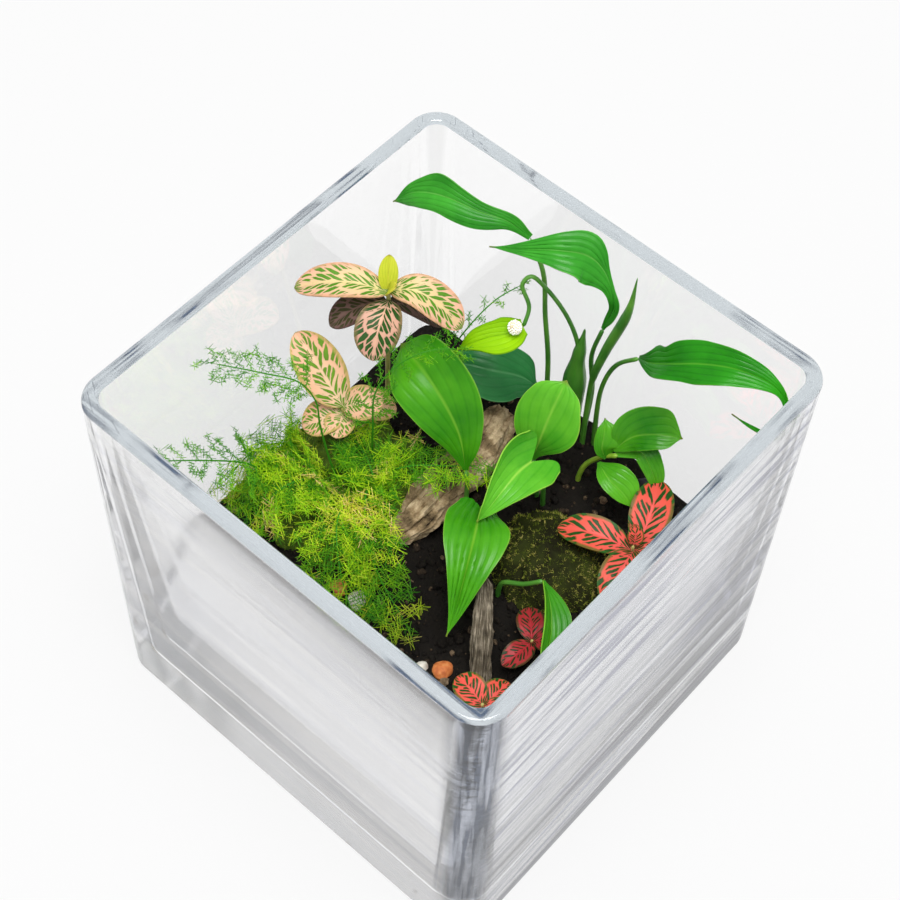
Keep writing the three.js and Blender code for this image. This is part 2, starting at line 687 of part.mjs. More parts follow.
// A three-sided twig with rings of needles; a needle that would meet another piece is left out
function bristledTwig(start, direction, length, chance) {
  const turn = new THREE.Quaternion().setFromUnitVectors(new THREE.Vector3(0, 1, 0), direction);
  const tufts = Math.max(2, Math.round(length / NEEDLE_SPACING));
  const heights = [0];
  for (let tuft = 1; tuft <= tufts; tuft += 1) {
    const middle = (length * tuft) / (tufts + BARE_TIP);
    heights.push(middle - NEEDLE_FOOT / 2, middle + NEEDLE_FOOT / 2);
  }
  heights.push(length);
  const points = heights.flatMap((height) => [0, 1, 2].map((side) => {
    const angle = (side * 2 * Math.PI) / 3;
    const radius = TWIG_RADIUS * (1 - (0.6 * height) / length);
    return new THREE.Vector3(radius * Math.sin(angle), height, radius * Math.cos(angle));
  }));
  points.forEach((point) => point.applyQuaternion(turn).add(start));
  const faces = [0, 2, 1];
  for (let band = 0; band + 1 < heights.length; band += 1) {
    for (let side = 0; side < 3; side += 1) {
      const a = band * 3 + side;
      const b = band * 3 + ((side + 1) % 3);
      const angle = ((side + 0.5) * 2 * Math.PI) / 3;
      const outward = new THREE.Vector3(Math.sin(angle), 0.5 + 0.5 * chance(), Math.cos(angle))
        .normalize().applyQuaternion(turn);
      const foot = points[a].clone().add(points[b + 3]).multiplyScalar(0.5);
      const tip = foot.clone().addScaledVector(outward, NEEDLE_LENGTH * (0.8 + 0.4 * chance()));
      const guard = spike(foot, outward, NEEDLE_LENGTH * GUARD_STRETCH, NEEDLE_FOOT, 4);
      if (band % 2 && insideVase(tip) && !overlapsAny(guard)) {
        const apex = points.push(tip) - 1;
        faces.push(a, b, apex, b, b + 3, apex, b + 3, a + 3, apex, a + 3, a, apex);
      } else {
        faces.push(a, b, b + 3, a, b + 3, a + 3);
      }
    }
  }
  const last = (heights.length - 1) * 3;
  faces.push(last, last + 1, last + 2);
  const geometry = new THREE.BufferGeometry().setFromPoints(points);
  geometry.setIndex(faces);
  return solidOf(geometry);
}

function frond({ root, exit = MOSS_EXIT, line, twigs, reach, seed, from = 0.35, spread = 0.55 }) {
  const chance = seeded(seed);
  const points = [...rooted(root, exit), ...line];
  dig(root, FERN_STEM_RADIUS);
  let solid = stalk(points, FERN_STEM_RADIUS, 3, 16);
  const curve = new THREE.CatmullRomCurve3(points.map(vector), false, 'centripetal');
  for (let twig = 0; twig < twigs; twig += 1) {
    const u = from + ((1 - from) * (twig + 0.5)) / twigs;
    const centre = curve.getPointAt(u);
    const along = curve.getTangentAt(u);
    const side = new THREE.Vector3(along.y, -along.x, 0.25 * (chance() - 0.2)).normalize();
    if (twig % 2) side.set(-side.x, -side.y, side.z);
    const lift = new THREE.Vector3(0, 0, 0.5 * chance());
    const direction = along.clone().multiplyScalar(spread).add(side).add(lift).normalize();
    const length = reach * (1.1 - 0.55 * u) * (0.8 + 0.4 * chance());
    const start = centre.addScaledVector(direction, -TWIG_SINK);
    const tip = start.clone().addScaledVector(direction, length);
    const guard = spike(centre, direction, length * GUARD_STRETCH, TWIG_GUARD, 4);
    if (!insideVase(tip) || overlapsAny(guard)) continue;
    solid = solid.add(bristledTwig(start, direction, length, chance));
  }
  return solid;
}

const FRONDS = [
  { name: 'fern_frond_arch', root: [-46, -17], reach: 24, twigs: 9, seed: 21, from: 0.45,
    line: [[-47, -18, 115], [-52, -16, 131], [-61, -15, 152], [-73, -28, 165], [-85, -42, 172]] },
  { name: 'fern_frond_left', root: [-62, -28], reach: 22, twigs: 9, seed: 22, from: 0.35,
    line: [[-66, -34, 106], [-71, -43, 120], [-78, -60, 134], [-84, -73, 142]] },
  { name: 'fern_frond_top', root: [-44, 2], reach: 20, twigs: 9, seed: 23, from: 0.4,
    line: [[-42, 0, 120], [-36, -4, 145], [-30, 6, 163], [-24, 22, 170], [-17, 34, 168]] },
  { name: 'fern_frond_back', root: [-44, 32], reach: 15, twigs: 7, seed: 24, from: 0.5,
    line: [[-42, 35, 120], [-36, 47, 150], [-30, 60, 166], [-25, 69, 171]] },
  { name: 'fern_spray_left', root: [-70, -18], reach: 20, twigs: 8, seed: 25, from: 0.25,
    line: [[-74, -20, 106], [-80, -30, 106], [-83, -46, 97]] },
  { name: 'fern_spray_crest', root: [-50, -22], reach: 20, twigs: 8, seed: 26, from: 0.25,
    line: [[-51, -26, 111], [-55, -38, 114], [-60, -52, 102]] },
  { name: 'fern_spray_near', root: [-36, -20], reach: 20, twigs: 9, seed: 27, from: 0.25,
    line: [[-34, -24, 110], [-24, -36, 113], [-10, -47, 104], [4, -54, 92]] },
  { name: 'fern_spray_middle', root: [-30, -10], reach: 20, twigs: 9, seed: 28, from: 0.25,
    line: [[-27, -13, 110], [-11, -21, 114], [8, -30, 107], [21, -37, 96]] },
  { name: 'fern_spray_right', root: [-34, -2], reach: 18, twigs: 8, seed: 29, from: 0.3,
    line: [[-31, 0, 108], [-22, 2, 113], [-10, 4, 114], [-1, 9, 109]] },
];
FRONDS.forEach((spec) => plant(spec.name, frond(spec), fernGreen));

add('soil', soil, soilFinish);
add('moss_green', mossGreen, greenMoss);
add('moss_olive', mossOlive, oliveMoss);
add('driftwood_log', logSolid, oldWood);
add('driftwood_stick', stickSolid, greyWood);

export default group;
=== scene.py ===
# %% [markdown]
# # A planted glass cube
#
# This lesson dresses a planted glass vase: a peace lily, nerve plants, a feathery fern and a
# creeper stand in dark soil, with moss, driftwood and pebbles round them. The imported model
# already holds every piece at its real size. Here each one gets the form and the finish
# that the eye expects from a step away.

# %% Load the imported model
import math
import random

import bmesh
import bpy
import numpy as np
from mathutils import Matrix, Vector, noise


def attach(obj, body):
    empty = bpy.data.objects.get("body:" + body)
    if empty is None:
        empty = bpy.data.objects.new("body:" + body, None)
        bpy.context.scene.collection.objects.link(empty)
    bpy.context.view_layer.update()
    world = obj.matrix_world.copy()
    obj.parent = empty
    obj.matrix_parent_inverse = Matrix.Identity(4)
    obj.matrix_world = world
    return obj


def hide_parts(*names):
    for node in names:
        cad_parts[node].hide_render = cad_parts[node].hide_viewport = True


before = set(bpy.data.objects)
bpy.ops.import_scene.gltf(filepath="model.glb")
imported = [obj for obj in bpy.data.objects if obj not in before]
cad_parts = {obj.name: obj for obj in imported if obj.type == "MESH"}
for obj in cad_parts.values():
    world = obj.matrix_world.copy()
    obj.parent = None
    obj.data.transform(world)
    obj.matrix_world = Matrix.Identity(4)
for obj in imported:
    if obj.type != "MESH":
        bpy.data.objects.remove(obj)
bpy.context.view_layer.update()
MM = 0.001
print("pieces in the packed model:", len(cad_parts))

# %% [markdown]
# ## The camera first
#
# The vase is seen from above one corner, through a short telephoto lens. The camera is placed
# by its azimuth, elevation and distance round a point in the vase, and rolled a little, as a
# hand-held one is. Placing it first means that every later look is at the same picture.

# %% Camera
VIEW_AZIMUTH = math.radians(39.04)
VIEW_ELEVATION = math.radians(56.45)
VIEW_ROLL = math.radians(3.03)
VIEW_DISTANCE = 829.7 * MM
VIEW_TARGET = Vector((-28.1, 33.2, 89.0)) * MM
LENS = 78.27
NEAREST_SEEN = 20 * MM

view_right = Vector((math.cos(VIEW_AZIMUTH), math.sin(VIEW_AZIMUTH), 0))
view_back = Vector((
    math.sin(VIEW_AZIMUTH) * math.cos(VIEW_ELEVATION),
    -math.cos(VIEW_AZIMUTH) * math.cos(VIEW_ELEVATION),
    math.sin(VIEW_ELEVATION),
))
view_up = view_back.cross(view_right)
turn = Matrix((view_right, view_up, view_back)).transposed() @ Matrix.Rotation(VIEW_ROLL, 3, "Z")
bpy.ops.object.camera_add(
    location=VIEW_TARGET + view_back * VIEW_DISTANCE,
    rotation=turn.to_euler(),
)
camera = bpy.context.object
camera.name = "camera"
camera.data.lens = LENS
camera.data.clip_start = NEAREST_SEEN
bpy.context.scene.camera = camera
print("camera at", [round(value, 3) for value in camera.location])

# %% [markdown]
# ## Floor and light
#
# Clear glass has no look of its own: it shows what stands round it. So the set is a pale floor
# under an even white sky, with one broad soft lamp that gives the leaves their sheen. The floor
# glows a little, like a light table, because most of what thick glass walls show is light that
# they carry up from below. The standard view transform keeps whites white.

# %% Floor and light
FLOOR_SIZE = 6.0
FLOOR_DROP = 0.2 * MM
SKY_STRENGTH = 0.85
GLASS_BOUNCES = 18
LEAF_BOUNCES = 3
LAMP_AT = Vector((0.25, -0.2, 1.6))
LAMP_AIM = Vector((0, 0, 0.12))
LAMP_SIZE = 0.8
LAMP_POWER = 26

scene = bpy.context.scene
scene.view_settings.view_transform = "Standard"
scene.cycles.max_bounces = GLASS_BOUNCES
scene.cycles.transmission_bounces = GLASS_BOUNCES
scene.cycles.glossy_bounces = GLASS_BOUNCES
scene.cycles.diffuse_bounces = LEAF_BOUNCES
bpy.ops.mesh.primitive_plane_add(size=FLOOR_SIZE, location=(0, 0, -FLOOR_DROP))
floor = bpy.context.object
floor.name = "floor"

world = bpy.data.worlds.new("white_sky")
world.use_nodes = True
world.node_tree.nodes["Background"].inputs["Color"].default_value = (1, 1, 1, 1)
world.node_tree.nodes["Background"].inputs["Strength"].default_value = SKY_STRENGTH
scene.world = world

bpy.ops.object.light_add(
    type="AREA",
    location=LAMP_AT,
    rotation=(LAMP_AIM - LAMP_AT).to_track_quat("-Z", "Y").to_euler(),
)
lamp = bpy.context.object
lamp.name = "window_light"
lamp.data.size = LAMP_SIZE
lamp.data.energy = LAMP_POWER
lamp.visible_transmission = False
print("sky and one soft lamp are set")

# %% [markdown]
# ## Helpers for the bench
#
# Most operators act on all that is selected, so each step starts by letting go of everything.
# Materials are built from nodes. What a node gives out takes part in plain arithmetic, and each
# sign adds the node that works the result out, so that a finish reads as a recipe.

# %% Handling pieces
def take(*pieces):
    """Selects only these pieces, the first of them active."""
    bpy.ops.object.select_all(action="DESELECT")
    for piece in pieces:
        piece.select_set(True)
    if pieces:
        bpy.context.view_layer.objects.active = pieces[0]


def made(maker, name, **settings):
    """Runs an operator that makes one object, and names it."""
    take()
    maker(**settings)
    piece = bpy.context.object
    piece.name = name
    return piece


def pick(piece, kind, test):
    """In edit mode: selects only the faces or edges that pass the test."""
    bpy.ops.mesh.select_mode(type=kind)
    bpy.ops.mesh.select_all(action="DESELECT")
    mesh = bmesh.from_edit_mesh(piece.data)
    for part in mesh.faces if kind == "FACE" else mesh.edges:
        if test(part):
            part.select_set(True)
    bmesh.update_edit_mesh(piece.data)


def apply_all(piece):
    """Applies the piece's modifiers and its place, so that the object sits at the origin."""
    take(piece)
    for modifier in list(piece.modifiers):
        bpy.ops.object.modifier_apply(modifier=modifier.name)
    bpy.ops.object.transform_apply(location=True, rotation=True, scale=True)


def join(name, pieces):
    take(*pieces)
    bpy.ops.object.join()
    pieces[0].name = name
    return pieces[0]


def dress(piece, recipe):
    piece.data.materials.clear()
    piece.data.materials.append(recipe.material)
    return piece


def seat(piece, slot, *nodes):
    """Hands the piece to the frame: what it rides on and the nodes it stands for. slot is not
    used.
    """
    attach(piece, "root")
    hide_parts(*nodes)
    print(piece.name, "faces:", len(piece.data.polygons))


# %% Recipes for finishes
class Value:
    """What a node gives out. Each sign adds the node that works the result out."""

    def __init__(self, recipe, socket):
        self.recipe = recipe
        self.socket = socket

    def __add__(self, other):
        return self.recipe.math("ADD", self, other)

    def __sub__(self, other):
        return self.recipe.math("SUBTRACT", self, other)

    def __rsub__(self, other):
        return self.recipe.math("SUBTRACT", other, self)

    def __mul__(self, other):
        return self.recipe.math("MULTIPLY", self, other)

    def __abs__(self):
        return self.recipe.math("ABSOLUTE", self)


class Recipe:
    """A material and short ways to add and join its nodes."""

    def __init__(self, name, **settings):
        self.material = bpy.data.materials.new(name)
        self.material.use_nodes = True
        self.tree = self.material.node_tree
        self.shader = self.tree.nodes["Principled BSDF"]
        self.set(**settings)

    def feed(self, socket, value):
        if isinstance(value, Value):
            self.tree.links.new(value.socket, socket)
        elif socket.type == "RGBA":
            socket.default_value = (*value, 1)
        else:
            socket.default_value = value

    def set(self, **inputs):
        for name, value in inputs.items():
            self.feed(self.shader.inputs[name.replace("_", " ")], value)

    def node(self, kind, inputs, out=0, **settings):
        """Adds a node and gives back one of its outputs."""
        node = self.tree.nodes.new(kind)
        for name, value in settings.items():
            setattr(node, name, value)
        for name, value in inputs.items():
            self.feed(node.inputs[name], value)
        return Value(self, node.outputs[out])

    def math(self, operation, a, b=0.0, clamp=False):
        return self.node("ShaderNodeMath", {0: a, 1: b}, operation=operation, use_clamp=clamp)

    def place(self, kind="Object"):
        """Object coordinates, or another kind."""
        return self.node("ShaderNodeTexCoord", {}, kind)

    def axes(self, kind="Object"):
        """The x, y and z of those coordinates."""
        parts = self.node("ShaderNodeSeparateXYZ", {"Vector": self.place(kind)}).socket.node
        return [Value(self, socket) for socket in parts.outputs]

    def vector(self, x, y, z):
        return self.node("ShaderNodeCombineXYZ", {"X": x, "Y": y, "Z": z})

    def shade(self):
        """The number that each copy in a scatter carries."""
        return self.node("ShaderNodeAttribute", {}, "Fac", attribute_name="shade")

    def noise(self, scale, detail=3.0, roughness=0.55, at=None):
        """Noise in object coordinates, or in those of a vector."""
        return self.node("ShaderNodeTexNoise", {
            "Vector": at or self.place(), "Scale": scale, "Detail": detail, "Roughness": roughness,
        }, "Fac")

    def ramp(self, factor, *stops):
        """A colour ramp of (position, colour) stops."""
        color = self.node("ShaderNodeValToRGB", {"Fac": factor})
        elements = color.socket.node.color_ramp.elements
        while len(elements) < len(stops):
            elements.new(0.5)
        for element, (position, tone) in zip(elements, stops):
            element.position = position
            element.color = (*tone, 1)
        return color

    def above(self, factor, low, high):
        """0 below low, 1 above high."""
        return self.node("ShaderNodeMapRange", {
            "Value": factor, "From Min": low, "From Max": high,
        })

    def below(self, factor, low, high):
        """1 below low, 0 above high."""
        return 1 - self.above(factor, low, high)

    def mix(self, factor, a, b):
        """From color a to color b, by the node's own numbers for its color sockets."""
        return self.node("ShaderNodeMix", {0: factor, 6: a, 7: b}, 2, data_type="RGBA")

    def bump(self, height, distance, strength=1.0):
        self.set(Normal=self.node("ShaderNodeBump", {
            "Height": height, "Distance": distance, "Strength": strength,
        }))

    def let_through(self, color, share):
        """Lets a share of the light pass, as thin leaves do."""
        through = self.node("ShaderNodeBsdfTranslucent", {"Color": color})
        solid = Value(self, self.shader.outputs["BSDF"])
        both = self.node("ShaderNodeMixShader", {0: share, 1: solid, 2: through})
        self.feed(self.tree.nodes["Material Output"].inputs["Surface"], both)


print("helpers are ready")

# %% Floor finish
FLOOR_GLOW = 0.85
FLOOR_GREY = (0.06, 0.06, 0.06)
dress(floor, Recipe(
    "pale_floor",
    Base_Color=FLOOR_GREY, Roughness=0.9, Emission_Color=(1, 1, 1), Emission_Strength=FLOOR_GLOW,
))
print("the floor glows with strength", FLOOR_GLOW)

# %% [markdown]
# ## The glass vase
#
# The real vase is pressed in one piece: thick walls that thin towards the mouth, a fire-rounded
# rim and a heavy base. It starts as a cube. Its upright edges are bevelled, the top is inset and
# pushed down to the floor of the cavity with the draft of the mould, and the cavity's floor, the
# rim and the foot are rounded last. Weighted normals keep the broad walls flat, which matters in
# glass: a wall that is shaded as if it were curved would bend everything seen through it.

# %% Vase dimensions
VASE_SIDE = 200 * MM
VASE_HEIGHT = 198 * MM
RIM_WALL = 6.4 * MM
CORNER_RADIUS = 13 * MM
BASE_THICKNESS = 18 * MM
STRAIGHT_TOP = 14 * MM
WALL_DRAFT = math.radians(3)
RIM_ROUNDING = 2 * MM
FOOT_ROUNDING = 3 * MM
FLOOR_ROUNDING = 5 * MM


def cavity_half(z):
    """Half the width of the cavity at a height."""
    depth = max(0.0, VASE_HEIGHT - STRAIGHT_TOP - z)
    return VASE_SIDE / 2 - RIM_WALL - depth * math.tan(WALL_DRAFT)


print("half the cavity's floor:", round(cavity_half(BASE_THICKNESS), 4))

# %% Model the vase
SHARP = 0.5
vase = made(
    bpy.ops.mesh.primitive_cube_add, "vase_glass", size=1, location=(0, 0, VASE_HEIGHT / 2),
)
vase.scale = (VASE_SIDE, VASE_SIDE, VASE_HEIGHT)
bpy.ops.object.transform_apply(location=True, scale=True)
bpy.ops.object.mode_set(mode="EDIT")
pick(vase, "EDGE", lambda edge: abs(edge.verts[0].co.z - edge.verts[1].co.z) > VASE_HEIGHT / 2)
bpy.ops.mesh.bevel(offset=CORNER_RADIUS, segments=20)
pick(vase, "FACE", lambda face: face.normal.z > 0.9)
bpy.ops.mesh.inset(thickness=RIM_WALL)
bpy.ops.mesh.extrude_region_move(TRANSFORM_OT_translate={"value": (0, 0, -STRAIGHT_TOP)})
deep = VASE_HEIGHT - STRAIGHT_TOP - BASE_THICKNESS
bpy.ops.mesh.extrude_region_move(TRANSFORM_OT_translate={"value": (0, 0, -deep)})
narrowing = cavity_half(BASE_THICKNESS) / cavity_half(VASE_HEIGHT)
bpy.ops.transform.resize(
    value=(narrowing, narrowing, 1),
    center_override=(0, 0, BASE_THICKNESS),
)


def level_edge(height):
    """A test for the sharp level edges at a height."""
    def test(edge):
        level = all(abs(end.co.z - height) < 0.1 * MM for end in edge.verts)
        return level and len(edge.link_faces) == 2 and edge.calc_face_angle() > SHARP
    return test


for height, rounding, segments in (
    (BASE_THICKNESS, FLOOR_ROUNDING, 10),
    (VASE_HEIGHT, RIM_ROUNDING, 8),
    (0, FOOT_ROUNDING, 8),
):
    pick(vase, "EDGE", level_edge(height))
    bpy.ops.mesh.bevel(offset=rounding, segments=segments)
bpy.ops.object.mode_set(mode="OBJECT")
bpy.ops.object.shade_smooth()
weighted = vase.modifiers.new("flat walls", "WEIGHTED_NORMAL")
weighted.mode = "FACE_AREA"
apply_all(vase)
print("vase box", [round(value, 4) for value in vase.dimensions])

# %% [markdown]
# ## The glass finish
#
# Pressed glass is never even. Faint flow lines run round the walls and folds lie low in them.
# The lines tint the glass, and on the walls they also stand out a little; their grey on the two
# walls nearest the camera is partly painted shade. Painted shade greys the whole right wall,
# darkens the corner nearest the camera with upright lines and lays a dark line low on the right
# wall. The foot has its own streaks. The rim is tinted blue-grey, partly the glass's own colour
# and partly painted shade, and it is scratched in patches.

# %% Glass finish
WALL = VASE_SIDE / 2
RIM_BAND = (VASE_HEIGHT - 1.9 * MM, VASE_HEIGHT - 1.4 * MM)
# Height of the dark line painted low on the right wall: painted shade.
FOOT_SHADE_LINE_AT = 7 * MM
CLEAR = (1.0, 1.0, 1.0)
# The rim's blue-grey is partly the glass's own colour and partly painted shade; its scratches are
# wear.
RIM_BLUE_AND_SHADE, RIM_SCRATCH = (0.53, 0.62, 0.68), (0.015, 0.03, 0.07)
# The right wall's grey is painted shade over the whole wall. Its streak and fold tints are partly
# flow lines and partly painted shade.
SIDE_SHADE_GREY, SIDE_STREAK_AND_SHADE, SIDE_FOLD_AND_SHADE = (0.86, 0.88, 0.92), (0.16, 0.17, 0.26), (0.02, 0.02, 0.035)
# Streak and fold tints of the left wall: partly flow lines, partly painted shade.
LEFT_STREAK_AND_SHADE, LEFT_FOLD_AND_SHADE = (0.84, 0.85, 0.90), (0.62, 0.64, 0.70)
# The foot's streaks are flow lines; the dark foot line is painted shade.
FOOT_STREAK, FOOT_SHADE_LINE = (0.86, 0.88, 0.92), (0.02, 0.023, 0.035)
# The near corner's grey and its upright lines are painted shade.
CORNER_SHADE_GREY, CORNER_SHADE_STREAK = (0.22, 0.25, 0.33), (0.01, 0.015, 0.03)
SIDE_ROUGHNESS, RIM_ROUGHNESS, UNDERSIDE_ROUGHNESS = 0.08, 0.10, 0.16
STREAK_HEIGHT = 0.16 * MM

glass = Recipe("clear_glass", IOR=1.5, Transmission_Weight=1.0)
x, y, z = glass.axes()
out = glass.math("MAXIMUM", abs(x), abs(y))
run = x - y


def lines_in_glass(detail, *places):
    """Noise that is drawn out along the axis with the smallest factor."""
    return glass.noise(1, detail, 0.5, glass.vector(*places))


streaks = lines_in_glass(2.5, out * 420, run * 12, z * 210)
folds = lines_in_glass(1.5, out * 160, run * 4, z * 85)
# Upright lines for the painted shade in the near corner.
corner_shade_lines = lines_in_glass(2, (x + y) * 260, 0, z * 22)

right_zone = glass.above(x, WALL - 15 * MM, WALL - 5 * MM)
right_side = glass.above(x, WALL - 4 * MM, WALL - 1 * MM)
left_side = glass.above(y * -1, WALL - 4 * MM, WALL - 1 * MM)
underside = glass.below(z, 0.3 * MM, 1.5 * MM)
# A dark line low on the right wall: painted shade.
foot_shade_line = glass.below(abs(z - FOOT_SHADE_LINE_AT), 2.5 * MM, 7 * MM) * right_zone
near_foot = glass.math("SUBTRACT", glass.below(z, 8 * MM, 40 * MM), underside, clamp=True)
# The corner nearest the camera is painted darker: painted shade.
near_corner_shade = glass.above(run, 2 * WALL - 18 * MM, 2 * WALL - 10 * MM)
near_corner_shade = near_corner_shade * glass.above(z, 14 * MM, 40 * MM)
on_rim = glass.above(z, *RIM_BAND)

fine_lines = glass.above(streaks, 0.44, 0.62)
wide_lines = glass.above(folds, 0.45, 0.53) * glass.below(z, 35 * MM, 165 * MM)
scratch = glass.above(streaks, 0.44, 0.54) * glass.above(glass.noise(26, 2), 0.46, 0.58)
# The left wall: its streaks and folds are partly flow lines and partly painted shade.
left_tint_and_shade = glass.mix(wide_lines, glass.mix(fine_lines, CLEAR, LEFT_STREAK_AND_SHADE), LEFT_FOLD_AND_SHADE)
# The right wall: its grey is painted shade, and its streaks and folds are partly flow lines and
# partly painted shade.
side_shade_tint = glass.mix(wide_lines, glass.mix(fine_lines, SIDE_SHADE_GREY, SIDE_STREAK_AND_SHADE), SIDE_FOLD_AND_SHADE)
corner_shade_tint = glass.mix(glass.above(corner_shade_lines, 0.38, 0.56), CORNER_SHADE_GREY, CORNER_SHADE_STREAK)
tint = glass.mix(left_side, CLEAR, left_tint_and_shade)
tint = glass.mix(near_foot, tint, glass.mix(fine_lines, CLEAR, FOOT_STREAK))
tint = glass.mix(right_side, tint, side_shade_tint)
tint = glass.mix(foot_shade_line, tint, FOOT_SHADE_LINE)
tint = glass.mix(near_corner_shade, tint, corner_shade_tint)
tint = glass.mix(underside, tint, CLEAR)
# The rim: blue-grey, partly glass colour and partly painted shade, with scratches.
tint = glass.mix(on_rim, tint, glass.mix(scratch, RIM_BLUE_AND_SHADE, RIM_SCRATCH))
polish = glass.math("MAXIMUM", left_side, right_side) * SIDE_ROUGHNESS
polish = polish + on_rim * RIM_ROUGHNESS + underside * UNDERSIDE_ROUGHNESS
glass.set(Base_Color=tint, Roughness=polish)
glass.bump(streaks * (right_zone * 0.9 + 0.09), STREAK_HEIGHT)
seat(dress(vase, glass), "clear_glass", "glass_vase")

# %% [markdown]
# ## Copies by the thousand
#
# Needles, moss shoots, crumbs of soil and gravel repeat a small shape many times. One template
# with a few faces is modelled with an operator, and its copies are written into a single mesh.
# Each copy carries a number of its own, the shade, which the finishes read to vary the colour.

# %% Templates and scatter
def template(maker, **settings):
    """A small mesh made by one operator, as arrays of points and faces."""
    shape = made(maker, "template", **settings)
    points = np.array([vert.co for vert in shape.data.vertices])
    faces = [tuple(face.vertices) for face in shape.data.polygons]
    bpy.data.objects.remove(shape)
    return points, faces


def scatter(name, shape, copies):
    """One mesh of many copies, each a place and a shade. A place is an origin and three axes."""
    points, faces = shape
    places, shades = zip(*copies)
    moves = np.array(places)
    corners = np.einsum("vk,nkj->nvj", points, moves[:, 1:]) + moves[:, None, 0]
    count = len(points)
    mesh = bpy.data.meshes.new(name)
    mesh.from_pydata(corners.reshape(-1, 3), [], [
        tuple(corner + copy * count for corner in face)
        for copy in range(len(moves))
        for face in faces
    ])
    shade = mesh.attributes.new("shade", "FLOAT", "POINT")
    shade.data.foreach_set("value", np.repeat(np.array(shades, dtype=np.float32), count))
    piece = bpy.data.objects.new(name, mesh)
    bpy.context.collection.objects.link(piece)
    return piece


def on_sphere(rng):
    """A random direction."""
    z = rng.uniform(-1, 1)
    angle = rng.uniform(0, 2 * math.pi)
    level = math.sqrt(1 - z * z)
    return Vector((level * math.cos(angle), level * math.sin(angle), z))


print("one small mesh can be written out thousands of times")

# %% [markdown]
# ## Drainage gravel
#
# On the thick base of the vase lies a bed of small stones. Only those against the glass are
# ever seen, so the stones fill the lowest layer, and above it two rows along the walls.

# %% Drainage gravel
GRAVEL_TOP = 36 * MM
STONE_PITCH = 7.2 * MM
STONE_RADIUS = 3.9 * MM
STONE_UNEVEN = (0.72, 1.08)
STONE_SHIFT = 0.5 * MM
LAYERS = 3
LAYER_RISE = 0.75 * STONE_PITCH
SEEN_DEPTH = 1.6 * STONE_PITCH
pebble_shape = template(bpy.ops.mesh.primitive_uv_sphere_add, segments=8, ring_count=5, radius=1)


def stone_place(rng, centre, radius):
    """A stone of uneven size, turned at random."""
    turn = on_sphere(rng).to_track_quat("Z", "Y").to_matrix()
    sizes = [radius * rng.uniform(*STONE_UNEVEN) for axis in range(3)]
    return (centre, *(turn.col[axis] * sizes[axis] for axis in range(3)))


def gravel_bed():
    """All stones of the bed, layer by layer."""
    rng = random.Random(4)
    places = []
    for layer in range(LAYERS):
        z = BASE_THICKNESS + STONE_RADIUS * 0.95 + layer * LAYER_RISE
        limit = cavity_half(z) - STONE_RADIUS * 1.15
        steps = int(2 * limit / STONE_PITCH)
        for i in range(steps + 1):
            for j in range(steps + 1):
                x = -limit + 2 * limit * i / steps
                y = -limit + 2 * limit * j / steps
                if layer and max(abs(x), abs(y)) < limit - SEEN_DEPTH:
                    continue
                shift = Vector((rng.uniform(-1, 1), rng.uniform(-1, 1), rng.uniform(-0.6, 0.6)))
                centre = Vector((x, y, z)) + shift * STONE_SHIFT
                centre.z = min(centre.z, GRAVEL_TOP - STONE_RADIUS)
                places.append(stone_place(rng, centre, STONE_RADIUS))
    return scatter("gravel_stones", pebble_shape, [(place, rng.random()) for place in places])


gravel = gravel_bed()
take(gravel)
bpy.ops.object.shade_smooth_by_angle(angle=math.radians(70))
print("gravel stones:", len(gravel.data.vertices) // len(pebble_shape[0]))

# %% Stone finish
def stone_recipe(name, *stops, shade_share=0.2):
    """Stone: a colour for each pebble, clouded by noise."""
    recipe = Recipe(name, Roughness=0.62, Specular_IOR_Level=0.3)
    mixed = recipe.shade() * shade_share + recipe.noise(420, 5) * (1 - shade_share)
    recipe.set(Base_Color=recipe.ramp(mixed, *stops))
    recipe.bump(recipe.noise(1500, 4), 0.12 * MM)
    return recipe


gravel_stone = stone_recipe(
    "gravel_stone",
    (0.0, (0.10, 0.085, 0.07)), (0.3, (0.30, 0.25, 0.19)), (0.55, (0.46, 0.40, 0.32)),
    (0.8, (0.62, 0.58, 0.50)), (1.0, (0.33, 0.20, 0.12)),
    shade_share=0.75,
)
seat(dress(gravel, gravel_stone), "gravel", "drainage_gravel")

# %% [markdown]
# ## Soil
#
# The soil fills the vase up to the moss. Its body starts as a cube with many cuts, drawn out to
# the rounded square of the cavity and raised to the level of the ground. Crumbs of all sizes
# then lie on top and against the glass, because potting soil is never a smooth surface.

# %% The ground
SOIL_LEVEL = 76
RISES = (((-48, -6), 34, 7), ((10, 84), 26, 8), ((34, 24), 26, 3))
SOIL_WAVE, SOIL_WAVE_PITCH = 0.8, 23


def ripple(x, y, z, pitch):
    """Three crossed waves, from -1 to 1."""
    turn = 2 * math.pi / pitch
    wave = math.sin(turn * (x + 0.4 * y)) + math.sin(turn * (1.3 * y - 0.5 * z) + 1.7)
    return (wave + math.sin(turn * (0.8 * z + 0.9 * x) + 0.6)) / 3


def ground(x, y):
    """The height of the soil, all in millimetres."""
    rises = sum(
        rise * math.exp(-((x - at[0]) ** 2 + (y - at[1]) ** 2) / reach**2)
        for at, reach, rise in RISES
    )
    return SOIL_LEVEL + rises + SOIL_WAVE * ripple(x, y, 0, SOIL_WAVE_PITCH)


print("ground under the left moss:", round(ground(*RISES[0][0]), 1))

# %% Soil body
SOIL_GAP = 0.35
SOIL_CUTS = 44
CAVITY_CORNER = 8
LUMPS_PER_MM = 0.22
LUMP_HEIGHT = 0.9
WALL_DENTS = 0.011


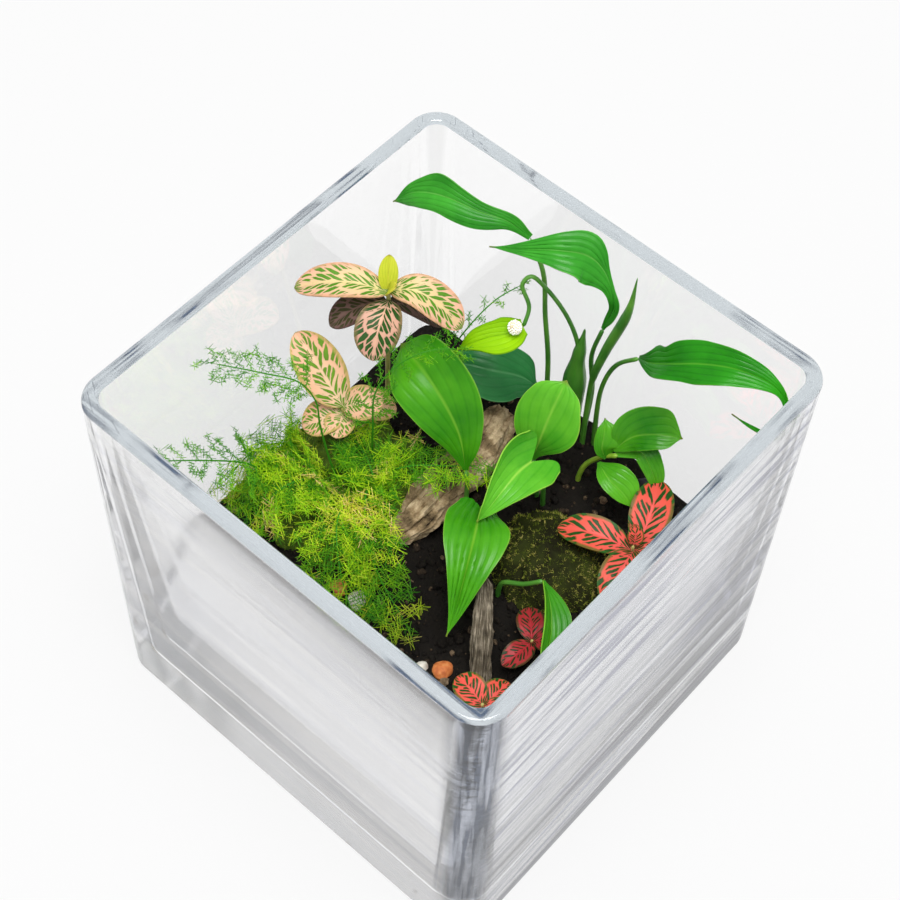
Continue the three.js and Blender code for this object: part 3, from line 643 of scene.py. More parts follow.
def to_rounded_square(x, y, half, corner):
    """Pulls a point of a square (-1 to 1) onto a square of that half width with round corners."""
    px, py = x * half, y * half
    over_x, over_y = abs(px) - (half - corner), abs(py) - (half - corner)
    if over_x > 0 and over_y > 0:
        reach = math.hypot(over_x, over_y)
        shrink = max(over_x, over_y) / reach
        px = math.copysign(half - corner + over_x * shrink, px)
        py = math.copysign(half - corner + over_y * shrink, py)
    return px, py


def tidy_shell(piece, angle=60):
    """Merges doubles, turns all faces outwards and shades the piece smooth up to an angle."""
    take(piece)
    bpy.ops.object.mode_set(mode="EDIT")
    bpy.ops.mesh.select_all(action="SELECT")
    bpy.ops.mesh.remove_doubles(threshold=0.01 * MM)
    bpy.ops.mesh.normals_make_consistent(inside=False)
    bpy.ops.object.mode_set(mode="OBJECT")
    bpy.ops.object.shade_smooth_by_angle(angle=math.radians(angle))


soil = made(bpy.ops.mesh.primitive_cube_add, "potting_soil", size=2)
bpy.ops.object.mode_set(mode="EDIT")
bpy.ops.mesh.select_all(action="SELECT")
bpy.ops.mesh.subdivide(number_cuts=SOIL_CUTS)
bpy.ops.object.mode_set(mode="OBJECT")
for vert in soil.data.vertices:
    share = (vert.co.z + 1) / 2
    low = GRAVEL_TOP / MM + 0.3
    rough_half = cavity_half(SOIL_LEVEL * MM) / MM - SOIL_GAP
    x, y = to_rounded_square(vert.co.x, vert.co.y, rough_half, CAVITY_CORNER)
    top = ground(x, y)
    z = low + (top - low) * share
    spread = (cavity_half(z * MM) / MM - SOIL_GAP) / rough_half
    lumps = noise.fractal(Vector((x, y, z)) * LUMPS_PER_MM, 1.0, 2.0, 3)
    if share > 0.999:
        z += LUMP_HEIGHT * lumps
    else:
        spread -= abs(lumps) * WALL_DENTS
    vert.co = Vector((x * spread, y * spread, z)) * MM
tidy_shell(soil, 50)
print("soil body, faces:", len(soil.data.polygons))

# %% Crumbs of soil
CRUMBS = 4200
WALL_CRUMBS = 2800
SMALLEST_CRUMB = 0.5
CRUMB_SPREAD, WALL_CRUMB_SPREAD = 2.3, 1.3
CLEAR_OF_WALL = 3
crumb_shape = template(bpy.ops.mesh.primitive_ico_sphere_add, subdivisions=1, radius=1)


def soil_crumbs():
    """Crumbs over the ground and then against the glass, most of them small, in millimetres."""
    rng = random.Random(17)
    limit = cavity_half(SOIL_LEVEL * MM) / MM - CLEAR_OF_WALL
    for _ in range(CRUMBS):
        x, y = rng.uniform(-limit, limit), rng.uniform(-limit, limit)
        size = SMALLEST_CRUMB + CRUMB_SPREAD * rng.random() ** 4
        centre = Vector((x, y, ground(x, y) + 0.25 * size)) * MM
        yield stone_place(rng, centre, size * MM), rng.random() ** 4
    for _ in range(WALL_CRUMBS):
        size = SMALLEST_CRUMB + WALL_CRUMB_SPREAD * rng.random() ** 3
        z = rng.uniform(GRAVEL_TOP / MM + 2, SOIL_LEVEL)
        wall = cavity_half(z * MM) / MM - SOIL_GAP - 1.05 * size
        across = rng.uniform(-wall + CAVITY_CORNER, wall - CAVITY_CORNER)
        out = rng.choice((-wall, wall))
        x, y = rng.choice(((across, out), (out, across)))
        yield stone_place(rng, Vector((x, y, z)) * MM, size * MM), rng.random() ** 0.8


crumbs = scatter("crumbs", crumb_shape, soil_crumbs())
take(crumbs)
bpy.ops.object.shade_smooth_by_angle(angle=math.radians(40))
potting = Recipe("potting_soil", Roughness=0.9, Specular_IOR_Level=0.12)
grains = potting.noise(900, 6, 0.7)
potting.set(Base_Color=potting.ramp(
    grains * 0.6 + potting.noise(60) * 0.25 + potting.shade() * 0.45,
    (0.25, (0.003, 0.003, 0.003)), (0.5, (0.010, 0.008, 0.006)),
    (0.72, (0.035, 0.024, 0.015)), (0.9, (0.20, 0.14, 0.085)), (1.0, (0.45, 0.36, 0.26)),
))
potting.bump(grains, 0.5 * MM)
soil = join("potting_soil", [soil, crumbs])
seat(dress(soil, potting), "soil", "soil")

# %% [markdown]
# ## Moss
#
# A moss cushion is a crowd of tiny upright shoots on a soft mound. The mound is a sphere,
# swollen unevenly and sunk into the soil. Thousands of pointed shoots stand out of it in small
# tufts, and each shoot leans its own way.

# %% Moss mounds
SHOOTS_IN_TUFT = 6
SHOOT_RADIUS = 0.46
SHOOT_SCATTER = 0.9
SHOOT_SUNK = 0.6
SWELL, SWELL_GRAIN, GRAIN_SCALE = 0.09, 0.05, 8


def spike(sides, tip):
    """A cone of unit size that stands on the origin, blunt where tip is over 0."""
    return template(
        bpy.ops.mesh.primitive_cone_add,
        vertices=sides, radius1=1, radius2=tip, depth=1, location=(0, 0, 0.5),
    )


def stretched(origin, direction, length, radius):
    """The place of a copy that stands on origin and points along direction."""
    side = direction.orthogonal().normalized()
    across = direction.cross(side)
    return (origin, side * radius, across * radius, direction * length)


shoot_shape = spike(3, 0)


def moss_mound(name, at, size, top, pitch, shift, shoots, length, seed):
    """A mound in millimetres, with shoots over all of it that shows above the soil."""
    rng = random.Random(seed)
    mound = made(
        bpy.ops.mesh.primitive_uv_sphere_add, name, segments=56, ring_count=36, radius=1,
    )

    def surface(direction):
        x, y, z = direction
        swell = 1 + SWELL * ripple(x * size[0] + shift, y * size[1], z * size[0], pitch)
        fine = 1 + SWELL_GRAIN * noise.noise(Vector((x, y, z)) * GRAIN_SCALE)
        return Vector((
            at[0] + size[0] * x * swell * fine,
            at[1] + size[1] * y * swell * fine,
            top - size[2] + size[2] * z * swell * fine,
        ))

    for vert in mound.data.vertices:
        vert.co = surface(vert.co) * MM
    tidy_shell(mound)
    copies = []
    while len(copies) < shoots:
        out = on_sphere(rng)
        if out.z < -0.2:
            continue
        foot = surface(out)
        if foot.z < ground(foot.x, foot.y) - 1:
            continue
        stem = (out + on_sphere(rng) * 0.5 + Vector((0, 0, 0.35))).normalized()
        shade = 0.25 + 0.75 * rng.random() ** 1.3
        for _ in range(SHOOTS_IN_TUFT):
            lean = (stem + on_sphere(rng) * SHOOT_SCATTER).normalized()
            tall = length * rng.uniform(0.6, 1.2) * MM
            radius = SHOOT_RADIUS * rng.uniform(0.7, 1.2) * MM
            place = stretched((foot - stem * SHOOT_SUNK) * MM, lean, tall, radius)
            copies.append((place, min(1.0, shade * rng.uniform(0.85, 1.15))))
    return join(name, [mound, scatter(name + "_shoots", shoot_shape, copies)])


def moss_recipe(name, *stops):
    recipe = Recipe(name, Roughness=0.85, Specular_IOR_Level=0.15)
    tint = recipe.ramp(recipe.shade() * 0.6 + recipe.noise(90) * 0.5, *stops)
    recipe.set(Base_Color=tint)
    recipe.let_through(tint, 0.25)
    return recipe


green_moss = moss_recipe(
    "green_moss",
    (0.15, (0.03, 0.05, 0.006)), (0.4, (0.13, 0.24, 0.02)),
    (0.7, (0.32, 0.48, 0.03)), (1.0, (0.60, 0.62, 0.12)),
)
olive_moss = moss_recipe(
    "olive_moss",
    (0.2, (0.012, 0.012, 0.003)), (0.45, (0.06, 0.08, 0.010)),
    (0.65, (0.23, 0.29, 0.03)), (0.8, (0.56, 0.50, 0.12)), (1.0, (0.66, 0.52, 0.24)),
)
cushion = moss_mound("moss_cushion", (-50, -8), (33.5, 37, 26), 101, 19, 3, 9600, 3.0, 31)
seat(dress(cushion, green_moss), "green_moss", "moss_green")
hummock = moss_mound("moss_hummock", (35, 24), (27, 26, 20), 91, 13, 8, 8400, 3.4, 32)
seat(dress(hummock, olive_moss), "olive_moss", "moss_olive")

# %% [markdown]
# ## Lines to grow along
#
# A stem or a midrib is a smooth line through a few given points, in millimetres in the
# vase's frame. The line is read by its share of the length, and it carries a pair of side
# directions that turn as little as possible, so that a tube round it doesn't twist.

# %% Smooth lines
def square_to(along, side):
    """The part of side that is square to the direction along."""
    return (side - along * side.dot(along)).normalized()


class Line:
    """A smooth line through a few points, read by share of its length from 0 to 1."""

    SAMPLES = 140

    def __init__(self, points):
        self.hand = [Vector(point) * MM for point in points]
        self.points = [self.raw(step / self.SAMPLES) for step in range(self.SAMPLES + 1)]
        self.reached = [0.0]
        self.sides = [(self.points[1] - self.points[0]).orthogonal().normalized()]
        for a, b in zip(self.points, self.points[1:]):
            self.reached.append(self.reached[-1] + (b - a).length)
            self.sides.append(square_to((b - a).normalized(), self.sides[-1]))

    def raw(self, t):
        """A point of the spline, by the number of given points passed."""
        hand = self.hand
        last = len(hand) - 1
        place = min(t * last, last - 1e-6)
        index = int(place)
        w = place - index
        b, c = hand[index], hand[index + 1]
        a = hand[index - 1] if index > 0 else 2 * b - c
        d = hand[index + 2] if index + 2 <= last else 2 * c - b
        ta, tb, tc = ((q - p).length ** 0.5 for p, q in ((a, b), (b, c), (c, d)))
        start = ((b - a) / ta - (c - a) / (ta + tb) + (c - b) / tb) * tb
        end = ((c - b) / tb - (d - b) / (tb + tc) + (d - c) / tc) * tb
        return (b * (2 * w**3 - 3 * w**2 + 1) + start * (w**3 - 2 * w**2 + w)
                + c * (3 * w**2 - 2 * w**3) + end * (w**3 - w**2))

    def find(self, share):
        """The sample before a share of the length, and how far on from it the share lies."""
        goal = min(max(share, 0.0), 1.0) * self.reached[-1]
        index = min(int(np.searchsorted(self.reached, goal, side="right")) - 1, self.SAMPLES - 1)
        span = self.reached[index + 1] - self.reached[index]
        return index, (goal - self.reached[index]) / span

    def at(self, share):
        index, w = self.find(share)
        return self.points[index].lerp(self.points[index + 1], w)

    def along(self, share):
        index = self.find(share)[0]
        return (self.points[index + 1] - self.points[index]).normalized()

    def frame(self, share):
        """The direction along the line and two directions square to it."""
        along = self.along(share)
        side = square_to(along, self.sides[self.find(share)[0]])
        return along, side, along.cross(side)


def tube(name, line, radius, rows=24, sides=8):
    """A grid rolled round a line. radius(share, angle) is in millimetres, and both ends close."""
    piece = made(
        bpy.ops.mesh.primitive_grid_add, name, x_subdivisions=rows, y_subdivisions=sides, size=1,
    )
    for vert in piece.data.vertices:
        share = vert.co.x + 0.5
        angle = (vert.co.y + 0.5) * 2 * math.pi
        along, side, across = line.frame(share)
        closed = 0.0 if share < 1e-6 or share > 1 - 1e-6 else 1.0
        reach = radius(share, angle % (2 * math.pi)) * MM * closed
        vert.co = line.at(share) + (side * math.cos(angle) + across * math.sin(angle)) * reach
    tidy_shell(piece)
    return piece


print("a line can carry a tube")

# %% [markdown]
# ## Driftwood
#
# A limb is a tube whose radius is read from a few given sizes and roughened by noise that
# runs along the grain: long ridges, knots and hollows. The grain of the finish follows the
# tube's own unwrapped grid, so it bends with the wood.

# %% Limbs
END_SIZE, END_SLOPE = 0.35, 12
KNOT_SCALE, KNOTS_ALONG = 2.2, 5
FIBRE_SCALE, FIBRES_ALONG = 6.6, 6
KNOTS_TO_FIBRE = 1.3


def step_of(sizes, share):
    """Where a share falls in a list of sizes: the one before it, and how far on it lies."""
    place = share * (len(sizes) - 1)
    index = min(int(place), len(sizes) - 2)
    return index, place - index


def limb(name, points, radii, ridge, seed):
    """A branch with given radii in millimetres. ridge is how rough it is."""
    line = Line(points)

    def radius(share, angle):
        index, w = step_of(radii, share)
        plain = radii[index] * (1 - w) + radii[index + 1] * w
        ends = min(1.0, END_SIZE + END_SLOPE * min(share, 1 - share))
        round_it = Vector((math.cos(angle), math.sin(angle), 0))
        along = Vector((0, 0, share))
        fibre = noise.fractal(round_it * FIBRE_SCALE + along * FIBRES_ALONG, 1.0, 2.0, 4)
        knots = noise.noise(
            round_it * KNOT_SCALE + along * KNOTS_ALONG + Vector((0, 0, seed)))
        return plain * ends * (1 + ridge * (fibre + KNOTS_TO_FIBRE * knots))

    return tube(name, line, radius, rows=110, sides=64)


def wood_recipe(name, dark, mid, pale, rot_share):
    """Old wood: grain along the limb, and patches of rot over it."""
    recipe = Recipe(name, Roughness=0.9, Specular_IOR_Level=0.15)
    u, v = recipe.axes("UV")[:2]
    grain = recipe.noise(1, 6, 0.65, recipe.vector(u * 6, v * 42, 0))
    mixed = grain * (1 - rot_share) + recipe.noise(75, 8, 0.7) * rot_share
    recipe.set(Base_Color=recipe.ramp(mixed, (0.38, dark), (0.5, mid), (0.64, pale)))
    recipe.bump(mixed, 2.2 * MM, 0.9)
    return recipe


log = limb(
    "rotten_log",
    [(-19, -14, 83), (-17, 6, 88), (-18, 30, 89), (-21, 50, 88), (-25, 66, 84)],
    [5, 8, 9.5, 9, 9.5, 8.5, 6], 0.26, 3.0,
)
rotten_wood = wood_recipe(
    "rotten_wood", (0.035, 0.024, 0.012), (0.27, 0.19, 0.10), (0.70, 0.55, 0.35), 0.85)
seat(dress(log, rotten_wood), "old_wood", "driftwood_log")
stick = limb(
    "grey_stick",
    [(53, -40, 66), (47, -33, 82), (37, -21, 95), (28, -10, 103)],
    [3.4, 4.2, 4, 4.3, 3.6, 2.6], 0.2, 7.0,
)
weathered_wood = wood_recipe(
    "weathered_wood", (0.016, 0.012, 0.008), (0.11, 0.09, 0.06), (0.42, 0.36, 0.27), 0.45)
seat(dress(stick, weathered_wood), "grey_wood", "driftwood_stick")

# %% [markdown]
# ## Pebbles
#
# Each pebble on the soil starts as a sphere with enough faces to be smooth, is pressed to three
# uneven sizes and swollen by slow noise.

# %% Pebbles
SHOWN_HEIGHT = 0.45
PEBBLE_SWELL, PEBBLE_DENTS = 0.16, 0.03
TURN_BY = 1.1


def pebble(name, at, size, seed, recipe):
    """A stone of three half sizes in millimetres, sunk into the ground at a place."""
    piece = made(bpy.ops.mesh.primitive_ico_sphere_add, name, subdivisions=4, radius=1)
    turn = Matrix.Rotation(seed * TURN_BY, 3, "Z")
    height = ground(*at) + size[2] * SHOWN_HEIGHT
    for vert in piece.data.vertices:
        out = vert.co.copy()
        swell = 1 + PEBBLE_SWELL * noise.noise(out * 1.1 + Vector((seed, 0, 0)))
        swell += PEBBLE_DENTS * noise.noise(out * 4 + Vector((0, seed, 0)))
        shaped = turn @ Vector([out[axis] * size[axis] * swell for axis in range(3)])
        vert.co = (shaped + Vector((*at, height))) * MM
    shade = piece.data.attributes.new("shade", "FLOAT", "POINT")
    shade.data.foreach_set("value", [0.5] * len(piece.data.vertices))
    take(piece)
    bpy.ops.object.shade_smooth()
    return dress(piece, recipe)


orange_stone = stone_recipe(
    "orange_stone",
    (0.3, (0.30, 0.07, 0.02)), (0.5, (0.50, 0.15, 0.04)), (0.7, (0.62, 0.28, 0.10)),
)
white_stone = stone_recipe(
    "white_stone",
    (0.3, (0.30, 0.27, 0.22)), (0.5, (0.58, 0.54, 0.47)), (0.7, (0.78, 0.75, 0.70)),
)
black_stone = stone_recipe(
    "black_stone",
    (0.3, (0.008, 0.008, 0.010)), (0.5, (0.02, 0.021, 0.026)), (0.7, (0.06, 0.062, 0.07)),
)
PEBBLES = (
    ("pebble_orange_left", (-21, -43), (4, 3.4, 2.8), orange_stone, "orange_pebble"),
    ("pebble_orange_front", (35, -42), (4.4, 3.8, 3), orange_stone, "orange_pebble"),
    ("pebble_white_left", (-12, -42), (4.6, 3.6, 3), white_stone, "white_pebble"),
    ("pebble_white_middle", (-29, -52), (4, 3, 2.6), white_stone, "white_pebble"),
    ("pebble_white_front", (28, -47), (3, 2.6, 2.4), white_stone, "white_pebble"),
    ("pebble_white_right", (70, 12), (6, 4.6, 3.6), white_stone, "white_pebble"),
    ("stone_black_back", (44, 80), (7, 5, 5), black_stone, "black_stone"),
    ("stone_black_right", (68, 70), (8, 7, 6), black_stone, "black_stone"),
    ("stone_black_corner", (78, -20), (6, 7, 5), black_stone, "black_stone"),
    ("stone_black_front", (8, -70), (8, 6, 5), black_stone, "black_stone"),
)
for seed, (name, at, size, recipe, slot) in enumerate(PEBBLES):
    seat(pebble(name, at, size, seed, recipe), slot, name)

# %% [markdown]
# ## Leaves
#
# A leaf is a grid bent along its midrib. The half widths of most leaves are listed one by one,
# left and right, because no two of them are alike; those of the nerve plants come from one
# formula.
# Each half rises from the midrib like an open book and may curl further, the veins quilt the
# surface, and a Solidify modifier makes it a thin shell. The grid's own unwrapped map runs from
# stalk to tip, so the finish can draw the veins along it.

# %% Blades
VEINS_ACROSS = 1.7
VEINS_ALONG = 0.9
LEAF_THICKNESS = 0.5 * MM
NARROWEST = 0.25
QUILTED_WIDTH = 5
RIB_WIDTH = 0.09
WAVES = 4.8


def read_sizes(sizes, share):
    """Reads a list of given sizes by share of the length, smoothly."""
    index, w = step_of(sizes, share)
    before, after = sizes[max(index - 1, 0)], sizes[min(index + 2, len(sizes) - 1)]
    a, b = sizes[index], sizes[index + 1]
    return a + 0.5 * w * (b - before + w * (2 * before - 5 * a + 4 * b - after
                                            + w * (3 * a - before - 3 * b + after)))


def by_hand(left, right):
    """The half widths of a leaf from two lists, from its base to its tip."""
    return lambda share, side: read_sizes(left if side < 0 else right, share)


def by_form(width, base, tip):
    """The half width of an even leaf: a small base power makes a round base."""
    peak = base / (base + tip)
    fullness = peak**base * (1 - peak) ** tip
    return lambda share, side: width / 2 * share**base * (1 - share) ** tip / fullness


def blade(name, rib, facing, half, fold=(0.2, 0.2), curl=(0.0, 0.0), lobe=0.0, wave=0.0,
          quilt=0.22, rows=64, strips=32):
    """A leaf blade. rib is its midrib, and facing is where its upper side looks. Each half rises
    by fold and bends on by curl, in radians. lobe, wave and quilt are millimetres: how far the
    base reaches back, how far the edge waves and how deep the veins are quilted."""
    line = Line(rib)
    leaf = made(
        bpy.ops.mesh.primitive_grid_add, name, x_subdivisions=rows, y_subdivisions=strips, size=1,
    )
    for vert in leaf.data.vertices:
        u = min(max(vert.co.x + 0.5, 0.0), 1.0)
        v = min(max(2 * vert.co.y, -1.0), 1.0)
        side, reach = (0, -v) if v < 0 else (1, v)
        along = line.along(u)
        right = along.cross(Vector(facing)).normalized()
        normal = right.cross(along).normalized()
        wide = max(NARROWEST, half(u, v))
        rise, bend = fold[side], curl[side] * reach + 1e-4
        out = wide * reach * (math.sin(rise + bend) - math.sin(rise)) / bend
        up = wide * reach * (math.cos(rise) - math.cos(rise + bend)) / bend
        phase = 2 * (VEINS_ACROSS * reach - VEINS_ALONG * u)
        body = min(1.0, wide / QUILTED_WIDTH)
        relief = quilt * abs(math.sin(math.pi * phase)) * body * min(1.0, 4 * reach)
        relief -= 0.5 * quilt * math.exp(-((v / RIB_WIDTH) ** 2)) * body
        flutter = wave * math.sin(2 * math.pi * (WAVES * u + 0.3 * side)) * reach**2 * body
        place = right * math.copysign(out, v) + normal * (up + relief * (1 - v * v) + flutter)
        place -= along * (lobe * math.sin(0.8 * math.pi * reach) * (1 - u) ** 5)
        vert.co = line.at(u) + place * MM
    shell = leaf.modifiers.new("leaf thickness", "SOLIDIFY")
    shell.thickness = LEAF_THICKNESS
    shell.offset = 0
    apply_all(leaf)
    tidy_shell(leaf, 50)
    return leaf


print("half of a 16 mm leaf at mid length:", round(by_form(16, 0.65, 0.6)(0.5, 1), 2))

# %% [markdown]
# ## Leaf finishes
#
# A peace lily's leaf is a glossy deep green, lighter along the midrib and between the veins.
# A nerve plant's veins are its whole show: a net in pink or red on dark green. Both finishes
# read the leaf's own map: how far along, and how far from the midrib.

# %% Leaf finishes
DRY_TIP = (0.28, 0.16, 0.045)


def leaf_frame(recipe):
    """How far along the leaf, and how far from its midrib, both 0 to 1."""
    u, v = recipe.axes("UV")[:2]
    return u, abs(v * 2 - 1)


def glossy_leaf(name, deep, bright, rib, roughness=0.3):
    """A glossy blade: furrows along the veins, a pale midrib and edge, and a dry tip."""
    recipe = Recipe(name, Roughness=roughness, Specular_IOR_Level=0.25)
    u, side = leaf_frame(recipe)
    phase = side * VEINS_ACROSS - u * VEINS_ALONG
    furrow = recipe.above(abs(recipe.math("FRACT", phase * 2) - 0.5), 0.34, 0.5)
    fine = recipe.math("COSINE", phase * (16 * math.pi))
    # The furrows are darkened a little in colour too: painted shade in the creases.
    tone = recipe.noise(45, 4) - furrow * 0.08 + fine * 0.01 + u * 0.14
    midrib = recipe.below(side, 0.01, 0.07) * (0.65 - u * 0.45)
    color = recipe.mix(midrib, recipe.ramp(tone, (0.3, deep), (0.8, bright)), rib)
    color = recipe.mix(recipe.above(side, 0.965, 0.995) * 0.6, color, rib)
    color = recipe.mix(recipe.above(u, 0.95, 0.995) * 0.6, color, DRY_TIP)
    recipe.set(Base_Color=color)
    recipe.bump(fine * 0.12 + recipe.noise(700) - furrow * 1.4, 0.07 * MM)
    recipe.let_through(color, 0.3)
    return recipe


def nerve_leaf(name, cell, vein_color, outer_vein, edge_color, cells, cover):
    """Net-veined leaf. cells is how many there are along it and across each half, and cover is
    how much of the leaf its veins take."""
    recipe = Recipe(name, Roughness=0.42, Specular_IOR_Level=0.25)
    u, side = leaf_frame(recipe)
    arch = u - recipe.math("POWER", side, 0.8) * 0.32
    wander = recipe.noise(230, 2) * 0.5
    net = recipe.node("ShaderNodeTexVoronoi", {
        "Vector": recipe.vector(arch * cells[0] + wander, side * cells[1], wander),
        "Scale": 1.0, "Randomness": 0.8,
    }, "Distance", feature="DISTANCE_TO_EDGE")
    net = recipe.below(net, 0.19 * cover, 0.27 * cover)
    veins = recipe.math("MAXIMUM", net, recipe.below(side, 0.06 * cover, 0.13 * cover))
    clouds = recipe.noise(160)
    edge = recipe.above(side + clouds * 0.2, 0.90, 1.0)
    outward = recipe.math("ADD", side * 0.6, u * 0.6, clamp=True)
    green = recipe.mix(clouds, cell, tuple(0.5 * part for part in cell))
    color = recipe.mix(veins, green, recipe.mix(outward, vein_color, outer_vein))
    color = recipe.mix(edge * 0.8, color, edge_color)
    recipe.set(Base_Color=color)
    recipe.bump(1 - veins, 0.3 * MM, 0.8)
    recipe.let_through(color, 0.3)
    return recipe


def stem_recipe(name, scale, dark, pale, roughness):
    """The skin of a stalk: two greens in soft patches."""
    recipe = Recipe(name, Roughness=roughness)
    recipe.set(Base_Color=recipe.ramp(recipe.noise(scale, 2), (0.3, dark), (0.7, pale)))
    return recipe


lily_fresh = glossy_leaf(
    "lily_fresh", (0.02, 0.22, 0.003), (0.10, 0.44, 0.010), (0.30, 0.60, 0.05))
lily_deep = glossy_leaf(
    "lily_deep", (0.006, 0.17, 0.004), (0.06, 0.42, 0.03), (0.22, 0.56, 0.12))
lily_dark = glossy_leaf(
    "lily_dark", (0.004, 0.15, 0.001), (0.030, 0.36, 0.006), (0.14, 0.46, 0.03))
lily_bright = glossy_leaf(
    "lily_bright", (0.05, 0.36, 0.012), (0.20, 0.64, 0.04), (0.46, 0.78, 0.10))
# The shaded leaf's darker, bluer green is painted shade.
lily_shaded = glossy_leaf(
    "lily_shaded", (0.012, 0.13, 0.03), (0.04, 0.27, 0.07), (0.14, 0.40, 0.16), 0.32)
stalk_green = stem_recipe("stalk_green", 60, (0.03, 0.16, 0.015), (0.10, 0.30, 0.03), 0.4)
print("leaf finishes are ready")

# %% [markdown]
# ## Peace lily
#
# The lily's tallest leaves rise on long stalks from one crown at the back, and the others from
# shoots nearer the middle. Each leaf with its stalk is one piece. The new leaf is still rolled
# into a spear.

# %% Stalks
ROOT_DEPTH = 12
BARE_NECK, NECK_LENGTH = 2, 3


def rooted(root, exit_height=None):
    """The first points of a stem: its foot in the soil, and where it leaves the ground."""
    x, y = root
    leaves = ground(x, y) + BARE_NECK if exit_height is None else exit_height
    return [(x, y, SOIL_LEVEL - ROOT_DEPTH), (x, y, leaves - NECK_LENGTH), (x, y, leaves)]


def stalk(name, points, thick, thin, rows=40, sides=8):
    """A round stalk that tapers from thick to thin, in millimetres of radius."""
    def radius(share, angle):
        return thick + (thin - thick) * share
    return tube(name, Line(points), radius, rows, sides)


print("a stalk at the crown leaves the ground at", round(rooted((12, 80))[-1][2], 1))

# %% Leaves high over the crown
STALK_THICK, STALK_THIN = 1.25, 0.95


def lily_leaf(node, root, stem, finish, rib, facing, left, right, **shape):
    """One leaf with its stalk, from the soil to the tip, in millimetres."""
    green = dress(blade(node, rib, facing, by_hand(left, right), **shape), finish)
    carrier = stalk(node + "_stalk", [*rooted(root), *stem, rib[0]], STALK_THICK, STALK_THIN)
    dress(carrier, stalk_green)
    seat(join(node.replace("lily_leaf", "lily"), [green, carrier]), "lily_green", node)


lily_leaf(
    "lily_leaf_back", (-12, 77), [(-13, 76, 125), (-17, 76, 152), (-21, 77, 175)], lily_deep,
    rib=[(-29, 77, 190), (-38, 73, 196), (-48, 68, 198), (-62, 64, 199), (-75, 61, 194),
         (-84, 58, 184)],
    facing=(0.1, -0.4, 0.9),
    left=(1.2, 2.5, 5.5, 7.6, 8, 7, 6.4, 4.5, 0),
    right=(1.6, 3.5, 3.5, 4.4, 6, 8.6, 5.5, 2.4, 0),
    fold=(0.1, 0.45), curl=(-0.9, 0.3),
)
lily_leaf(
    "lily_leaf_top", (6.5, 80.5), [(8, 80, 120), (6, 79, 142)], lily_deep,
    rib=[(10, 78, 165), (13, 78, 184), (6, 79, 197), (-1, 77, 202), (-10, 70, 204),
         (-22, 64, 200), (-37, 62, 191)],
    facing=(0.15, -0.45, 0.88),
    left=(0.8, 1.6, 1.8, 3.6, 9.2, 11, 8.9, 5.6, 2.8, 1.3, 0),
    right=(0.8, 2.4, 2.6, 1.2, 2.4, 8.6, 7.6, 5, 2.9, 1, 0),
    quilt=0.5,
)
lily_leaf(
    "lily_leaf_right", (12.5, 80.5), [(12.5, 80, 125), (17, 81, 144)], lily_dark,
    rib=[(27, 81, 158), (36, 76, 168), (46, 74, 179), (58, 76, 188), (70, 79, 193),
         (81, 83, 192), (88, 84, 189), (92, 83, 183), (92, 80, 176), (90, 79, 170),
         (81, 80, 165), (72, 80.5, 164)],
    facing=(-0.1, -0.6, 0.8),
    left=(1.2, 3.4, 7.4, 6.6, 8.8, 9.2, 8, 6.4, 4.4, 2, 1, 1, 0.9, 0.7, 0),
    right=(0.8, 3, 5.4, 6.4, 7, 8.4, 8, 6.6, 4.6, 2, 1, 1, 0.9, 0.7, 0),
    wave=1.0,
)

# %% Leaves in the middle
lily_leaf(
    "lily_leaf_shade", (-17, 74), [(-16, 73, 96)], lily_shaded,
    rib=[(-17, 75, 104), (-23, 70, 110), (-30, 63, 114), (-40, 57, 115), (-50, 54, 110)],
    facing=(0.1, -0.3, 1),
    left=(1, 8, 11, 14, 14.5, 12.4, 8, 4, 0),
    right=(1, 8, 11, 12.5, 12.5, 11, 9, 5, 0),
)
lily_leaf(
    "lily_leaf_front", (10, 46), [(8, 46, 96)], lily_bright,
    rib=[(6, 46, 103), (8, 47, 120), (8, 52, 132), (8, 57, 141), (7.5, 61, 145)],
    facing=(0.25, -0.8, 0.45),
    left=(1, 3.4, 6.4, 9.4, 11.8, 13.2, 13.8, 13.4, 12, 9.2, 0),
    right=(1, 2.2, 4.6, 8, 11.6, 14, 14.4, 13.6, 11.6, 8.4, 0),
)
lily_leaf(
    "lily_leaf_broad", (-5, 16), [(-5, 17, 105)], lily_fresh,
    rib=[(-7, 18, 113), (-13, 20, 130), (-23, 21, 143), (-36, 23, 150), (-52, 28, 148)],
    facing=(0.4, -0.5, 0.75),
    left=(1, 4.8, 8.8, 12, 14.2, 15.4, 15.2, 11.5, 0),
    right=(1, 5.4, 9.2, 13, 15.4, 15.9, 14.6, 10.5, 0),
    fold=(0.12, 0.3), curl=(-0.3, 0.1),
)
lily_leaf(
    "lily_leaf_heart", (15, 44), [(15, 40, 110)], lily_bright,
    rib=[(15, 31.8, 126), (14.8, 24.5, 127), (15.4, 14.8, 126), (15.3, 6.6, 122), (13.8, 1, 116)],
    facing=(0.2, -0.2, 0.95),
    left=(11.5, 13.4, 12.6, 10.6, 8.2, 5.8, 3.6, 1.7, 0),
    right=(12.5, 14, 13, 10.8, 8.6, 6.2, 4, 2, 0),
    lobe=8, fold=(0.1, 0.35), curl=(0.3, 0.8), quilt=0.12,
)
lily_leaf(
    "lily_leaf_long", (7, 24), [(6, 19, 98)], lily_fresh,
    rib=[(9, 9, 111), (17, -4, 116), (24, -17, 113), (29, -28, 104), (32, -37, 95)],
    facing=(0.15, -0.35, 0.95),
    left=(3, 8, 14, 13.2, 10.2, 7.2, 4.6, 2.2, 0),
    right=(9, 12.6, 13.1, 11.8, 8.8, 6.2, 3.9, 1.6, 0),
    lobe=4, fold=(0.12, 0.25), quilt=0.8,
)
